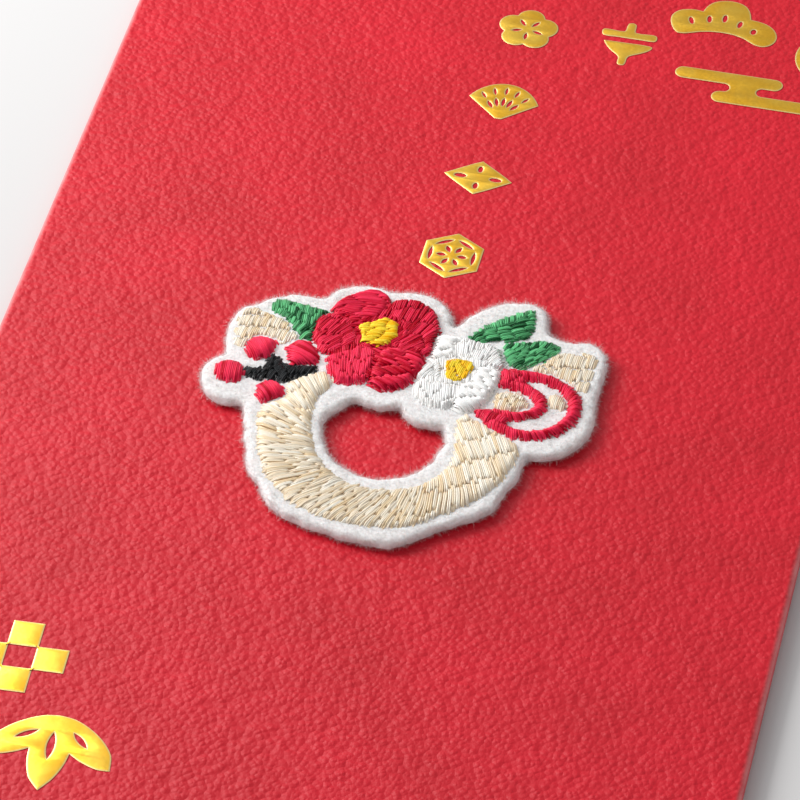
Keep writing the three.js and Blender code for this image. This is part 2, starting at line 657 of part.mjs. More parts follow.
function pine() {
  const outline = [
    [
      [-2.2, 0.75], [-1.95, 1.55], [-1.5, 2.2], [-0.8, 2.6],
      [0, 2.75], [0.8, 2.65], [1.5, 2.25], [1.95, 1.5],
    ],
    [
      [2.2, 0.55], [2.9, 0.45], [3.7, 0.2], [4.4, -0.35], [4.8, -1.1], [4.85, -1.9], [4.5, -2.6], [3.8, -3],
      [3, -2.85], [2.1, -2.3], [1.1, -1.95], [0, -1.85], [-1.1, -1.95], [-2.2, -2.25], [-3.2, -2.65],
      [-3.9, -2.7], [-4.4, -2.2], [-4.8, -1.2], [-4.8, -0.3], [-4.3, 0.45], [-3.6, 0.75], [-2.9, 0.85],
    ],
  ];
  const holes = [
    ovalHole(-3, -0.75, 0.42, 1, 0.35),
    ovalHole(-1.45, -0.22, 0.42, 0.95, 0.12),
    ovalHole(-0.1, 0.15, 0.42, 1.05, 0),
    ovalHole(1.35, -0.38, 0.42, 0.95, -0.15),
    ovalHole(2.7, -1.12, 0.5, 0.75, -0.1),
  ];
  return shapeOf(cornered(outline, printGrid, 2), holes);
}

// A band of haze: two round-ended bars that lap, joined by a neck with hollow corners.
function haze() {
  const g = printGrid;
  const bar = 0.77 * g; // half the thickness of a bar
  const upper = { from: -6.4 * g, to: 3.25 * g, y: 1.3 * g };
  const lower = { from: -2.7 * g, to: 6.9 * g, y: -1.3 * g };
  const neck = { from: -1.3 * g, to: 1.1 * g };
  const hollow = upper.y - bar;
  const shape = new THREE.Shape();
  shape.moveTo(neck.to + hollow, upper.y - bar);
  shape.absarc(upper.to - bar, upper.y, bar, -Math.PI / 2, Math.PI / 2, false);
  shape.absarc(upper.from + bar, upper.y, bar, Math.PI / 2, 1.5 * Math.PI, false);
  shape.absarc(neck.from - hollow, 0, hollow, Math.PI / 2, -Math.PI / 2, true);
  shape.absarc(lower.from + bar, lower.y, bar, Math.PI / 2, 1.5 * Math.PI, false);
  shape.absarc(lower.to - bar, lower.y, bar, -Math.PI / 2, Math.PI / 2, false);
  shape.absarc(neck.to + hollow, 0, hollow, -Math.PI / 2, -1.5 * Math.PI, true);
  return shape;
}

// A thread ball: a disc crossed by slits.
function threadBall() {
  const radius = 3.6 * printGrid;
  const shape = new THREE.Shape();
  shape.absarc(0, 0, radius, 0, Math.PI, false);
  shape.absarc(0, 0, radius, Math.PI, 2 * Math.PI, false);
  const slits = [
    slit([-2.9, 0], [-0.6, 0], 0.45),
    slit([0.6, 0], [2.9, 0], 0.45),
  ];
  for (const side of [-1, 1]) {
    slits.push(slit([-2.3, side * 1.5], [-0.5, side * 0.6], 0.45));
    slits.push(slit([0.5, side * 0.6], [2.3, side * 1.5], 0.45));
    slits.push(slit([0, side * 0.8], [0, side * 2.9], 0.5));
  }
  slits.forEach((hole) => shape.holes.push(new THREE.Path(hole)));
  return shape;
}

// Four squares about an empty one; each laps its neighbours a little at their shared corners.
function checker() {
  const g = printGrid;
  const square = 2.5 * g;
  const inner = square / 2 - 0.08 * g;
  const edge = square / 2;
  const outer = 1.5 * square;
  const points = [];
  for (let i = 0; i < 4; i++) {
    const turn = (i * Math.PI) / 2;
    for (const [x, y] of [[edge, edge], [edge, outer], [-edge, outer]]) {
      points.push([x * Math.cos(turn) - y * Math.sin(turn), x * Math.sin(turn) + y * Math.cos(turn)]);
    }
  }
  const hole = vectors([[-inner, -inner], [-inner, inner], [inner, inner], [inner, -inner]]);
  return shapeOf(vectors(points), [hole]);
}

function bambooLeaves() {
  const right = [[0, 3.95], [1.1, 3.8], [2.2, 3.3], [3.2, 2.6], [4.1, 1.7], [4.8, 0.6]];
  const under = [[5.05, -0.9], [4.1, -0.95], [3, -0.6], [2.2, -0.2]];
  const middle = [[1.6, 0.2], [1.5, -0.8], [1.25, -1.8], [0.85, -2.8]];
  const mirrored = (points) => points.map(([x, y]) => [-x, y]);
  const tipAndBack = [[0.15, -3.9], ...mirrored(middle.slice(1)).reverse()];
  const runs = [
    right,
    under,
    middle,
    tipAndBack,
    [[-1.6, 0.2], ...mirrored(under.slice(1)).reverse()],
    [[-5.05, -0.9], ...mirrored(right.slice(1)).reverse()],
  ];
  const slits = [
    slit([1.4, 2.4], [2.8, 1], 0.5),
    slit([-0.1, 2.2], [0.05, -0.7], 0.62),
    slit([-1.3, 2.2], [-3, 1.05], 0.45),
  ];
  return shapeOf(cornered(runs, printGrid, 2), slits);
}

// The column's ornaments are plain traditional figures, each about five millimetres across.
function blossom() {
  const petals = 5;
  const petalReach = 1.45; // from the blossom's middle to a petal's
  const petalRadius = 1.28;
  const petalArc = 1.34; // half of the round part of a petal, in radians
  const steps = 8;
  const around = (radius, angle) => [radius * Math.cos(angle), radius * Math.sin(angle)];
  const line = [];
  const holes = [];
  for (let i = 0; i < petals; i++) {
    const turn = Math.PI / 2 + (i * 2 * Math.PI) / petals;
    const [x, y] = around(petalReach, turn);
    for (let step = 0; step <= steps; step++) {
      const [right, up] = around(petalRadius, turn + petalArc * ((2 * step) / steps - 1));
      line.push([x + right, y + up]);
    }
    const between = turn + Math.PI / petals;
    holes.push(slit(around(0.5, between), around(1.5, between), 0.32));
  }
  return shapeOf(vectors(line, printGrid), holes);
}

function lozenge() {
  const outer = [];
  const arms = [[3, 0], [0, 2.2], [-3, 0], [0, -2.2]];
  const dents = [[1.25, 1], [-1.25, 1], [-1.25, -1], [1.25, -1]];
  const pulledIn = 0.55;
  arms.forEach(([x, y], i) => {
    const [right, up] = dents[i];
    outer.push([[x, y], [(x + right) * pulledIn, (y + up) * pulledIn]]);
  });
  const holes = [
    ovalHole(1.55, 0, 0.5, 1.1, Math.PI / 2),
    ovalHole(-1.55, 0, 0.5, 1.1, Math.PI / 2),
    ovalHole(0, 1.1, 0.45, 0.8, 0),
    ovalHole(0, -1.1, 0.45, 0.8, 0),
  ];
  return shapeOf(cornered(outer, printGrid, 3), holes);
}

function foldingFan() {
  const spread = 1.05; // half the fan's opening, in radians
  const ribSpread = 0.36; // between its ribs
  const narrowed = 0.78; // its width against a round fan's
  const pivot = -2.1;
  const outer = 4.6;
  const steps = 12;
  const onRay = (radius, angle) => [radius * Math.cos(angle) * narrowed, pivot + radius * Math.sin(angle)];
  const line = [];
  for (let step = 0; step <= steps; step++) {
    line.push(onRay(outer, Math.PI / 2 + spread * ((2 * step) / steps - 1)));
  }
  line.push([-0.3, pivot - 0.2], [0.3, pivot - 0.2]);
  const holes = [];
  for (let i = -2; i <= 2; i++) {
    const angle = Math.PI / 2 - i * ribSpread;
    holes.push(slit(onRay(1.5, angle), onRay(2.7, angle), 0.34));
    holes.push(slit(onRay(3.1, angle), onRay(4.1, angle), 0.26));
  }
  return shapeOf(vectors(line, printGrid), holes);
}

function tortoiseshell() {
  const hexagon = (radius) => {
    const points = [];
    for (let i = 0; i < 6; i++) {
      const angle = Math.PI / 2 + (i * Math.PI) / 3;
      points.push([radius * Math.cos(angle), radius * Math.sin(angle)]);
    }
    return points;
  };
  const holes = [];
  const corners = hexagon(2.15);
  corners.forEach((corner, i) => {
    const next = corners[(i + 1) % 6];
    const mix = (a, b, share) => [a[0] + (b[0] - a[0]) * share, a[1] + (b[1] - a[1]) * share];
    const middle = mix(corner, next, 0.5);
    holes.push(slit(mix(corner, next, 0.1), mix(corner, next, 0.9), 0.34));
    holes.push(slit(mix([0, 0], middle, 0.25), mix([0, 0], middle, 0.72), 0.4));
  });
  return shapeOf(vectors(hexagon(2.9), printGrid), holes);
}

function prints() {
  const group = new THREE.Group();
  const topEdge = envelopeHeight / 2;
  [blossom(), foldingFan(), lozenge(), tortoiseshell()].forEach((shape, i) => {
    const drop = firstOrnamentDrop + i * ornamentPitch;
    group.add(goldPrint(`gold_ornament_${i + 1}`, shape, 0, topEdge - drop));
  });
  const topX = envelopeWidth / 2 - cornerPrintX;
  const topY = topEdge - cornerPrintY;
  // Each with its place about the spinning top, in squares of the prints' drawing.
  const cornerPrints = [
    ["gold_spinning_top_band", spinningTopBand(), 0, 0],
    ["gold_spinning_top_body", spinningTopBody(), 0, 0],
    ["gold_pine", pine(), 8, 4.1],
    ["gold_haze", haze(), 11.3, -5.2],
    ["gold_thread_ball", threadBall(), 18.5, 0.8],
  ];
  for (const [name, shape, right, up] of cornerPrints) {
    group.add(goldPrint(name, shape, topX + right * printGrid, topY + up * printGrid));
  }
  const lowX = -envelopeWidth / 2 + lowPrintX;
  const lowY = -envelopeHeight / 2 + lowPrintY;
  const leavesRight = 5 * printGrid;
  const leavesDown = 9.3 * printGrid;
  group.add(goldPrint("gold_checker", checker(), lowX, lowY, 0.06));
  group.add(goldPrint("gold_bamboo_leaves", bambooLeaves(), lowX + leavesRight, lowY - leavesDown, 0.02));
  group.position.z = frontTop;
  return group;
}

const moneyEnvelope = new THREE.Group();
moneyEnvelope.add(envelope(), patch(), prints());

export default moneyEnvelope;
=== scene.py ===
import math

import bpy
import numpy as np
from mathutils import Matrix, Vector, noise
from mathutils.geometry import tessellate_polygon


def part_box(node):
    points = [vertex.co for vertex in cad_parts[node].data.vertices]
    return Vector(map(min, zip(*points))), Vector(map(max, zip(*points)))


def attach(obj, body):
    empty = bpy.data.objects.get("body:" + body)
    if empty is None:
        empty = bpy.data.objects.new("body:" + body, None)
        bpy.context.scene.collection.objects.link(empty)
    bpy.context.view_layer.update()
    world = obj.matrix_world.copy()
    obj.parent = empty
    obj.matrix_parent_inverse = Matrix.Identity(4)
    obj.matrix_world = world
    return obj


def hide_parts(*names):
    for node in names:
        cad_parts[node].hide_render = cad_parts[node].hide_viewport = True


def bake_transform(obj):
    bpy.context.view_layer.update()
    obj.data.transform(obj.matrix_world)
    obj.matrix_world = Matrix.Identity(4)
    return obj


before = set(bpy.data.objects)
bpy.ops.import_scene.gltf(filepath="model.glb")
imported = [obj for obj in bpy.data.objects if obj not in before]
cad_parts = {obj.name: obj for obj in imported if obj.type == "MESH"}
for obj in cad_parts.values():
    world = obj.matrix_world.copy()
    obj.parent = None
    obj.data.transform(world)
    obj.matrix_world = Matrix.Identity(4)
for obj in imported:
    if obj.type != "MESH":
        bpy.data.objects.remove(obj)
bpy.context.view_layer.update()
mm = 0.001
print("frame loaded")


# places that every piece is worked out from, in millimetres
def nodeBox(name):
    low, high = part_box(name)
    return np.array(low) / mm, np.array(high) / mm


frontLow, frontHigh = nodeBox("front_panel")
paperTop = frontHigh[2]
feltLow, feltHigh = nodeBox("felt_base")
feltTop = feltHigh[2]
glueLow, glueHigh = nodeBox("patch_glue")
wreathCentre = (glueLow + glueHigh)[:2] / 2
levelSlack = 0.004    # corners nearer to a level than this belong to it


# small helpers
def srgb(red, green, blue):
    # a colour as read off a screen, 0 to 255, in the linear values that shaders take
    def linear(value):
        value /= 255
        return value / 12.92 if value <= 0.04045 else ((value + 0.055) / 1.055) ** 2.4
    return (linear(red), linear(green), linear(blue), 1)


def addObject(name, data):
    made = bpy.data.objects.new(name, data)
    bpy.context.scene.collection.objects.link(made)
    return made


def makeObject(name, vertices, faces, material, smoothAngle=40):
    # vertices in millimetres; faces as lists or one array of equal-sized faces
    mesh = bpy.data.meshes.new(name)
    mesh.from_pydata((np.asarray(vertices) * mm).tolist(), [], [list(map(int, f)) for f in faces])
    mesh.update()
    mesh.shade_smooth()
    if smoothAngle:
        mesh.set_sharp_from_angle(angle=math.radians(smoothAngle))    # sharper edges stay edges
    mesh.materials.append(material)
    return addObject(name, mesh)


def setAttribute(piece, name, values):
    attribute = piece.data.attributes.new(name, "FLOAT", "POINT")
    attribute.data.foreach_set("value", np.asarray(values, np.float32))


def applyModifiers(piece):
    # bakes the modifiers into the mesh, so that what is seen is what is kept
    graph = bpy.context.evaluated_depsgraph_get()
    mesh = bpy.data.meshes.new_from_object(piece.evaluated_get(graph))
    piece.modifiers.clear()
    piece.data = mesh


def prism(name, loops, low, high, material):
    # a flat solid from an outer rim and its holes
    curve = bpy.data.curves.new(name, "CURVE")
    curve.dimensions = "2D"
    curve.fill_mode = "BOTH"
    curve.extrude = (high - low) / 2 * mm
    for ring in loops:
        spline = curve.splines.new("POLY")
        spline.points.add(len(ring) - 1)
        for point, (x, y) in zip(spline.points, ring):
            point.co = (x * mm, y * mm, 0, 1)
        spline.use_cyclic_u = True
    shaped = addObject(name + "_shape", curve)
    bpy.context.view_layer.update()
    graph = bpy.context.evaluated_depsgraph_get()
    mesh = bpy.data.meshes.new_from_object(shaped.evaluated_get(graph))
    bpy.data.objects.remove(shaped)
    mesh.transform(Matrix.Translation((0, 0, (low + high) / 2 * mm)))
    mesh.materials.clear()
    mesh.materials.append(material)
    return addObject(name, mesh)


def outlineLoops(name):
    # the rims of a node's underside, in millimetres; the outer one comes first and runs
    # counter-clockwise, the holes run the other way
    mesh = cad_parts[name].data
    points = np.array([v.co for v in mesh.vertices]) / mm
    level = points[:, 2].min()
    keys = [tuple(p) for p in np.round(points, 3)]
    follows = {}    # the edges that only one of the flat faces has
    for face in mesh.polygons:
        corners = [keys[i] for i in face.vertices]
        if all(abs(c[2] - level) < levelSlack for c in corners):
            for here, there in zip(corners, corners[1:] + corners[:1]):
                if (there, here) in follows:
                    del follows[(there, here)]
                else:
                    follows[(here, there)] = True
    nextOf = {here: there for here, there in follows}
    loops = []
    while nextOf:
        here = next(iter(nextOf))
        ring = []
        while here in nextOf:
            ring.append(here[:2])
            here = nextOf.pop(here)
        loops.append(np.array(ring))
    loops.sort(key=lambda ring: -abs(signedArea(ring)))
    return [ring if (signedArea(ring) > 0) == (i == 0) else ring[::-1] for i, ring in enumerate(loops)]


def signedArea(ring):
    following = np.roll(ring, -1, axis=0)
    return 0.5 * np.sum(ring[:, 0] * following[:, 1] - following[:, 0] * ring[:, 1])


def widened(ring, distance):
    # each point of a rim moved away from the material, or into it where distance is negative
    along = np.roll(ring, -1, axis=0) - np.roll(ring, 1, axis=0)
    along /= np.linalg.norm(along, axis=1)[:, None] + 1e-9
    return ring + np.c_[along[:, 1], -along[:, 0]] * distance


def filledRims(rings, upwards):
    # triangles between an outer rim and its holes, as indices into their points one after another
    points = np.concatenate(rings)
    for a, b, c in tessellate_polygon([[Vector((x, y, 0)) for x, y in ring] for ring in rings]):
        p, q, r = points[a], points[b], points[c]
        turn = (q[0] - p[0]) * (r[1] - p[1]) - (q[1] - p[1]) * (r[0] - p[0])
        yield (a, b, c) if (turn > 0) == upwards else (a, c, b)


def distanceInside(points, ring):
    # how far inside the rim each point lies, negative outside
    start, end = ring, np.roll(ring, -1, axis=0)
    edge = end - start
    offset = points[:, None] - start[None]
    share = np.clip((offset * edge).sum(2) / ((edge ** 2).sum(1) + 1e-12), 0, 1)
    away = np.linalg.norm(offset - share[..., None] * edge, axis=2).min(1)
    crosses = (start[None, :, 1] > points[:, None, 1]) != (end[None, :, 1] > points[:, None, 1])
    with np.errstate(divide="ignore", invalid="ignore"):
        atX = start[:, 0] + (points[:, None, 1] - start[:, 1]) / edge[:, 1] * edge[:, 0]
    inside = (crosses & (points[:, None, 0] < atX)).sum(1) % 2 == 1
    return np.where(inside, away, -away)


# materials
class NodeKit:
    # a material's nodes, so that each finish below reads as a short list
    def __init__(self, name):
        self.material = bpy.data.materials.new(name)
        self.material.use_nodes = True
        self.tree = self.material.node_tree
        self.shader = self.tree.nodes["Principled BSDF"]
        self.place = self.add("ShaderNodeTexCoord").outputs["Object"]

    def add(self, kind, **settings):
        node = self.tree.nodes.new(kind)
        for key, value in settings.items():
            if hasattr(node, key):
                setattr(node, key, value)
            else:
                node.inputs[key.replace("_", " ")].default_value = value
        return node

    def link(self, output, target):
        self.tree.links.new(output, target)

    def scaled(self, node, scale, place=None):
        # feeds a texture with places on the piece, or with others, multiplied by scale
        mapping = self.add("ShaderNodeMapping")
        mapping.inputs["Scale"].default_value = scale
        self.link(self.place if place is None else place, mapping.inputs["Vector"])
        self.link(mapping.outputs["Vector"], node.inputs["Vector"])

    def noise(self, sizeMm, detail=2.0, roughness=0.5):
        # a noise whose grains are about sizeMm across
        node = self.add("ShaderNodeTexNoise", Scale=1.0, Detail=detail, Roughness=roughness)
        self.scaled(node, [1 / (sizeMm * mm)] * 3)
        return node.outputs["Fac"]

    def cells(self, sizeMm, smoothness):
        # rounded cells, 0 in their middles
        node = self.add("ShaderNodeTexVoronoi", feature="SMOOTH_F1", Scale=1.0, Smoothness=smoothness)
        self.scaled(node, [1 / (sizeMm * mm)] * 3)
        return node.outputs["Distance"]

    def attribute(self, name):
        return self.add("ShaderNodeAttribute", attribute_name=name).outputs["Fac"]

    def mixColor(self, factor, first, second):
        node = self.add("ShaderNodeMix", data_type="RGBA")
        self.link(factor, node.inputs["Factor"])
        # the node has sockets named A and B for every type; the colours are meant here
        sockets = [socket for socket in node.inputs if socket.type == "RGBA"]
        for value, socket in zip((first, second), sockets):
            if isinstance(value, tuple):
                socket.default_value = value
            else:
                self.link(value, socket)
        return [socket for socket in node.outputs if socket.type == "RGBA"][0]

    def range(self, value, low, high, toLow=0.0, toHigh=1.0):
        node = self.add("ShaderNodeMapRange")
        self.link(value, node.inputs["Value"])
        for key, number in (("From Min", low), ("From Max", high), ("To Min", toLow), ("To Max", toHigh)):
            node.inputs[key].default_value = number
        return node.outputs["Result"]

    def bump(self, height, depthMm, normal=None):
        # height runs from 0 to 1, depthMm is what 1 stands for
        node = self.add("ShaderNodeBump", Strength=1.0)
        node.inputs["Distance"].default_value = depthMm * mm
        self.link(height, node.inputs["Height"])
        if normal is not None:
            self.link(normal, node.inputs["Normal"])
        return node.outputs["Normal"]

    def finish(self, color=None, normal=None, roughness=None, **values):
        # what differs over the surface is linked, the rest is set on the shader
        for output, socket in ((color, "Base Color"), (normal, "Normal"), (roughness, "Roughness")):
            if output is not None:
                self.link(output, self.shader.inputs[socket])
        for key, value in values.items():
            self.shader.inputs[key.replace("_", " ")].default_value = value
        return self.material


paperLook = {
    "red": srgb(207, 2, 34),
    "deep": srgb(192, 0, 26),
    # the pale outer bend of a fold: partly worn coating, partly a painted highlight
    "paleFoldAndHighlight": srgb(236, 150, 150),
    "blotchMm": 9.0,
    "pebbleMm": 0.5,
    "pebbleSmoothness": 0.2,
    "fineGrainMm": 0.26,
    "roughness": (0.44, 0.56),
    "specular": 0.42,
}


def paperMaterial(name, grain, fineGrain):
    # grain and fineGrain are the depths of the embossing that the shader does, in millimetres
    kit = NodeKit(name)
    blotches = kit.noise(paperLook["blotchMm"], 3.0)
    color = kit.mixColor(kit.range(blotches, 0.3, 0.7), paperLook["red"], paperLook["deep"])
    # the pale band along the folds' outer bends, partly wear and partly a painted highlight
    color = kit.mixColor(kit.attribute("wearAndHighlight"), color, paperLook["paleFoldAndHighlight"])
    cells = kit.cells(paperLook["pebbleMm"], paperLook["pebbleSmoothness"])
    pebbles = kit.range(cells, 0.0, 0.9, 1.0, 0.0)
    fine = kit.noise(paperLook["fineGrainMm"], 2.0, 0.6)
    normal = kit.bump(pebbles, grain)
    normal = kit.bump(fine, fineGrain, normal)
    rough = kit.range(fine, 0.3, 0.7, *paperLook["roughness"])
    return kit.finish(color, normal, rough, Specular_IOR_Level=paperLook["specular"])


foilLook = {
    "gold": srgb(255, 211, 84),
    "warm": srgb(252, 195, 58),
    # a paler gold for the sloping rims, a painted highlight
    "rim": srgb(255, 240, 172),
    "tintMm": 3.0,
    "uneven": (0.9, 0.02),      # size and depth of the paper's unevenness under the foil
    "grain": (0.25, 0.0045),    # and of the foil's own grain
    "roughness": (0.36, 0.48),
}


def foilMaterial():
    kit = NodeKit("hotStampedGold")
    tint = kit.range(kit.noise(foilLook["tintMm"], 2.0), 0.35, 0.65)
    color = kit.mixColor(tint, foilLook["gold"], foilLook["warm"])
    # the sloping rims get the paler rim colour, a painted highlight
    color = kit.mixColor(kit.attribute("rim"), color, foilLook["rim"])
    (underMm, underDepth), (fineMm, fineDepth) = foilLook["uneven"], foilLook["grain"]
    under = kit.noise(underMm, 1.5, 0.55)
    fine = kit.noise(fineMm, 3.0, 0.6)
    normal = kit.bump(under, underDepth)
    normal = kit.bump(fine, fineDepth, normal)
    rough = kit.range(fine, 0.3, 0.7, *foilLook["roughness"])
    return kit.finish(color, normal, rough, Metallic=1.0)


feltLook = {
    "white": srgb(243, 241, 240),
    "shade": srgb(217, 213, 211),
    "matted": (0.28, 0.05),    # size and depth of the matted fibres
    "lump": (0.9, 0.05),       # and of the soft lumps under them
    "sheen": 0.3,
    "scatter": 0.35,
    "scatterRadius": (0.0006, 0.00045, 0.0004),
}


def feltMaterial():
    kit = NodeKit("whiteFelt")
    (mattedMm, mattedDepth), (lumpMm, lumpDepth) = feltLook["matted"], feltLook["lump"]
    matted = kit.noise(mattedMm, 4.0, 0.7)
    color = kit.mixColor(kit.range(matted, 0.35, 0.62), feltLook["shade"], feltLook["white"])
    normal = kit.bump(kit.noise(lumpMm, 3.0, 0.6), lumpDepth)
    normal = kit.bump(matted, mattedDepth, normal)
    return kit.finish(
        color, normal, Roughness=0.95, Specular_IOR_Level=0.1,
        Sheen_Weight=feltLook["sheen"], Sheen_Roughness=0.6,
        Subsurface_Weight=feltLook["scatter"], Subsurface_Radius=feltLook["scatterRadius"],
        Subsurface_Scale=1.0,
    )


threadLook = {
    "filaments": (0.7, 5.0, 1.0),    # their noise along a thread, in millimetres, and round it
    "filamentDepth": 0.035,
    "hollow": 0.6,                   # share of the thread's own colour left where it dives in; the rest is the painted shade colour
    "roughness": 0.33,
    "gloss": 0.7,
    "along": 0.5,                    # how far the gloss follows the filaments
    "scatter": 0.25,
    "scatterRadius": (0.0004, 0.0003, 0.0003),
}


def threadMaterial(name, dark, light, hollow, roughness=threadLook["roughness"]):
    # embroidery thread: shade differs from stitch to stitch, fine filaments run along each one, and the
    # ends where a stitch dives in are painted darker, a painted shade
    kit = NodeKit(name)
    color = kit.mixColor(kit.attribute("shade"), dark, light)
    # how much of the thread's own colour stays; towards the stitch ends the hollow colour, a painted
    # shade, takes over
    rising = kit.range(kit.attribute("depth"), 0.0, 1.0, threadLook["hollow"], 1.0)
    color = kit.mixColor(rising, hollow, color)
    filaments = kit.add("ShaderNodeTexNoise", Scale=1.0, Detail=2.0, Roughness=0.6)
    uv = kit.add("ShaderNodeUVMap", uv_map="thread").outputs["UV"]
    kit.scaled(filaments, threadLook["filaments"], uv)
    normal = kit.bump(filaments.outputs["Fac"], threadLook["filamentDepth"])
    tangent = kit.add("ShaderNodeTangent", direction_type="UV_MAP", uv_map="thread")
    kit.link(tangent.outputs["Tangent"], kit.shader.inputs["Tangent"])
    return kit.finish(
        color, normal, Roughness=roughness, Anisotropic=threadLook["along"],
        Specular_IOR_Level=threadLook["gloss"], Specular_Tint=light,
        Subsurface_Weight=threadLook["scatter"], Subsurface_Radius=threadLook["scatterRadius"],
        Subsurface_Scale=1.0,
    )


# depths of the pebbles and of the fine grain: the front's mesh carries most of its grain itself
redPaper = paperMaterial("embossedRedPaper", 0.08, 0.04)
plainRedPaper = paperMaterial("redPaperBack", 0.16, 0.06)
goldFoil = foilMaterial()
whiteFelt = feltMaterial()
# each thread: its dark and its light shade, and the colour painted in the hollows between stitches as
# shade
threads = {
    "straw": threadMaterial("strawThread", srgb(235, 206, 166), srgb(250, 240, 223), srgb(190, 148, 96)),
    "crimson": threadMaterial("crimsonThread", srgb(180, 0, 30), srgb(252, 52, 88), srgb(120, 0, 20)),
    "yellow": threadMaterial("yellowThread", srgb(255, 184, 14), srgb(255, 220, 62), srgb(222, 134, 10)),
    "white": threadMaterial("whiteThread", srgb(245, 241, 237), srgb(252, 250, 248), srgb(214, 208, 202)),
    "green": threadMaterial("greenThread", srgb(0, 60, 24), srgb(112, 206, 140), srgb(0, 40, 18)),
    "black": threadMaterial("blackThread", srgb(5, 5, 6), srgb(50, 52, 54), srgb(2, 2, 3), 0.4),
}
driedGlue = NodeKit("driedGlue").finish(
    Base_Color=srgb(232, 226, 208), Roughness=0.35, Specular_IOR_Level=0.5,
)
print("materials made")


# paper
grainShape = {
    "pitch": 0.29,             # of the front's mesh
    "grain": (0.8, 0.06),      # size and depth of the embossed grains
    "wrinkle": (1.9, 0.05),    # and of the wrinkles between groups of them
    "flatRim": 0.5,            # the grain fades out over this width at the folds
    "stampRim": 0.35,          # and over this one round the gold, which is pressed flat
    "flattened": 0.9,          # share of the grain that the stamp takes away
    "stampDepth": 0.035,
}


def grainHeight(x, y):
    # rounded grains, with narrow wrinkles here and there, as on leather
    size, depth = grainShape["grain"]
    height = depth * noise.noise(Vector((x / size, y / size, 0.3)))
    size, depth = grainShape["wrinkle"]
    return height + depth * (abs(noise.noise(Vector((x / size, y / size, 7.1)))) - 0.2)


def pressedShare(points):
    # 1 where a gold print was stamped into the paper, 0 away from it
    share = np.zeros(len(points))
    rim = grainShape["stampRim"]
    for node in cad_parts:
        if node.startswith("gold_"):
            low, high = nodeBox(node)
            near = np.all((points > low[:2] - rim) & (points < high[:2] + rim), axis=1)
            ring = outlineLoops(node)[0]
            reach = np.clip(distanceInside(points[near], ring) / rim + 1, 0, 1)
            share[near] = np.maximum(share[near], reach * reach * (3 - 2 * reach))
    return share


def frontSheet():
    # the front: a fine grid embossed with the leather grain, closed below and at its rims
    half = frontHigh[0]
    sideHalf = nodeBox("right_crease")[0][0]
    mouth = nodeBox("right_crease")[1][1]
    columns = int(2 * half / grainShape["pitch"]) + 1
    rows = int((frontHigh[1] - frontLow[1]) / grainShape["pitch"]) + 1
    across = np.linspace(-1, 1, columns)
    vertices = []
    for y in np.linspace(frontLow[1], frontHigh[1], rows):
        reach = half if y > mouth else sideHalf
        for x in across * reach:
            rim = min(reach - abs(x), y - frontLow[1], frontHigh[1] - y) / grainShape["flatRim"]
            vertices.append((x, y, grainHeight(x, y) * min(1, max(0, rim))))
    places = np.array(vertices)
    pressed = pressedShare(places[:, :2])
    grainLeft = 1 - grainShape["flattened"] * pressed
    places[:, 2] = paperTop + places[:, 2] * grainLeft - grainShape["stampDepth"] * pressed
    vertices = [tuple(place) for place in places]
    faces = []
    for j in range(rows - 1):
        for i in range(columns - 1):
            a = j * columns + i
            faces.append((a, a + 1, a + 1 + columns, a + columns))
    rim = list(range(columns))
    rim += [j * columns + columns - 1 for j in range(1, rows)]
    rim += [(rows - 1) * columns + i for i in range(columns - 2, -1, -1)]
    rim += [j * columns for j in range(rows - 2, 0, -1)]
    below = len(vertices)
    vertices += [(vertices[i][0], vertices[i][1], frontLow[2]) for i in rim]
    for k, a in enumerate(rim):
        following = (k + 1) % len(rim)
        faces.append((a, below + k, below + following, rim[following]))
    faces.append(tuple(range(len(vertices) - 1, below - 1, -1)))
    piece = makeObject("front_sheet", vertices, faces, redPaper)
    setAttribute(piece, "wearAndHighlight", np.zeros(len(vertices)))
    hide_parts("front_panel")
    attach(piece, "envelope")


foldLook = {
    "turns": 18,              # steps round a fold
    "pitch": 0.6,             # along it
    "wearAndHighlight": 0.75,             # how far the outer bend has turned pale, partly worn coating and partly a painted highlight
    "wearAndHighlightAt": (0.75, 0.42),   # angle above the plane where the worn and painted highlight band is palest, and how far it spreads
    "patchyMm": 1.7,
    "wavy": (3.0, 0.015),     # length and height of the fold's waves
}


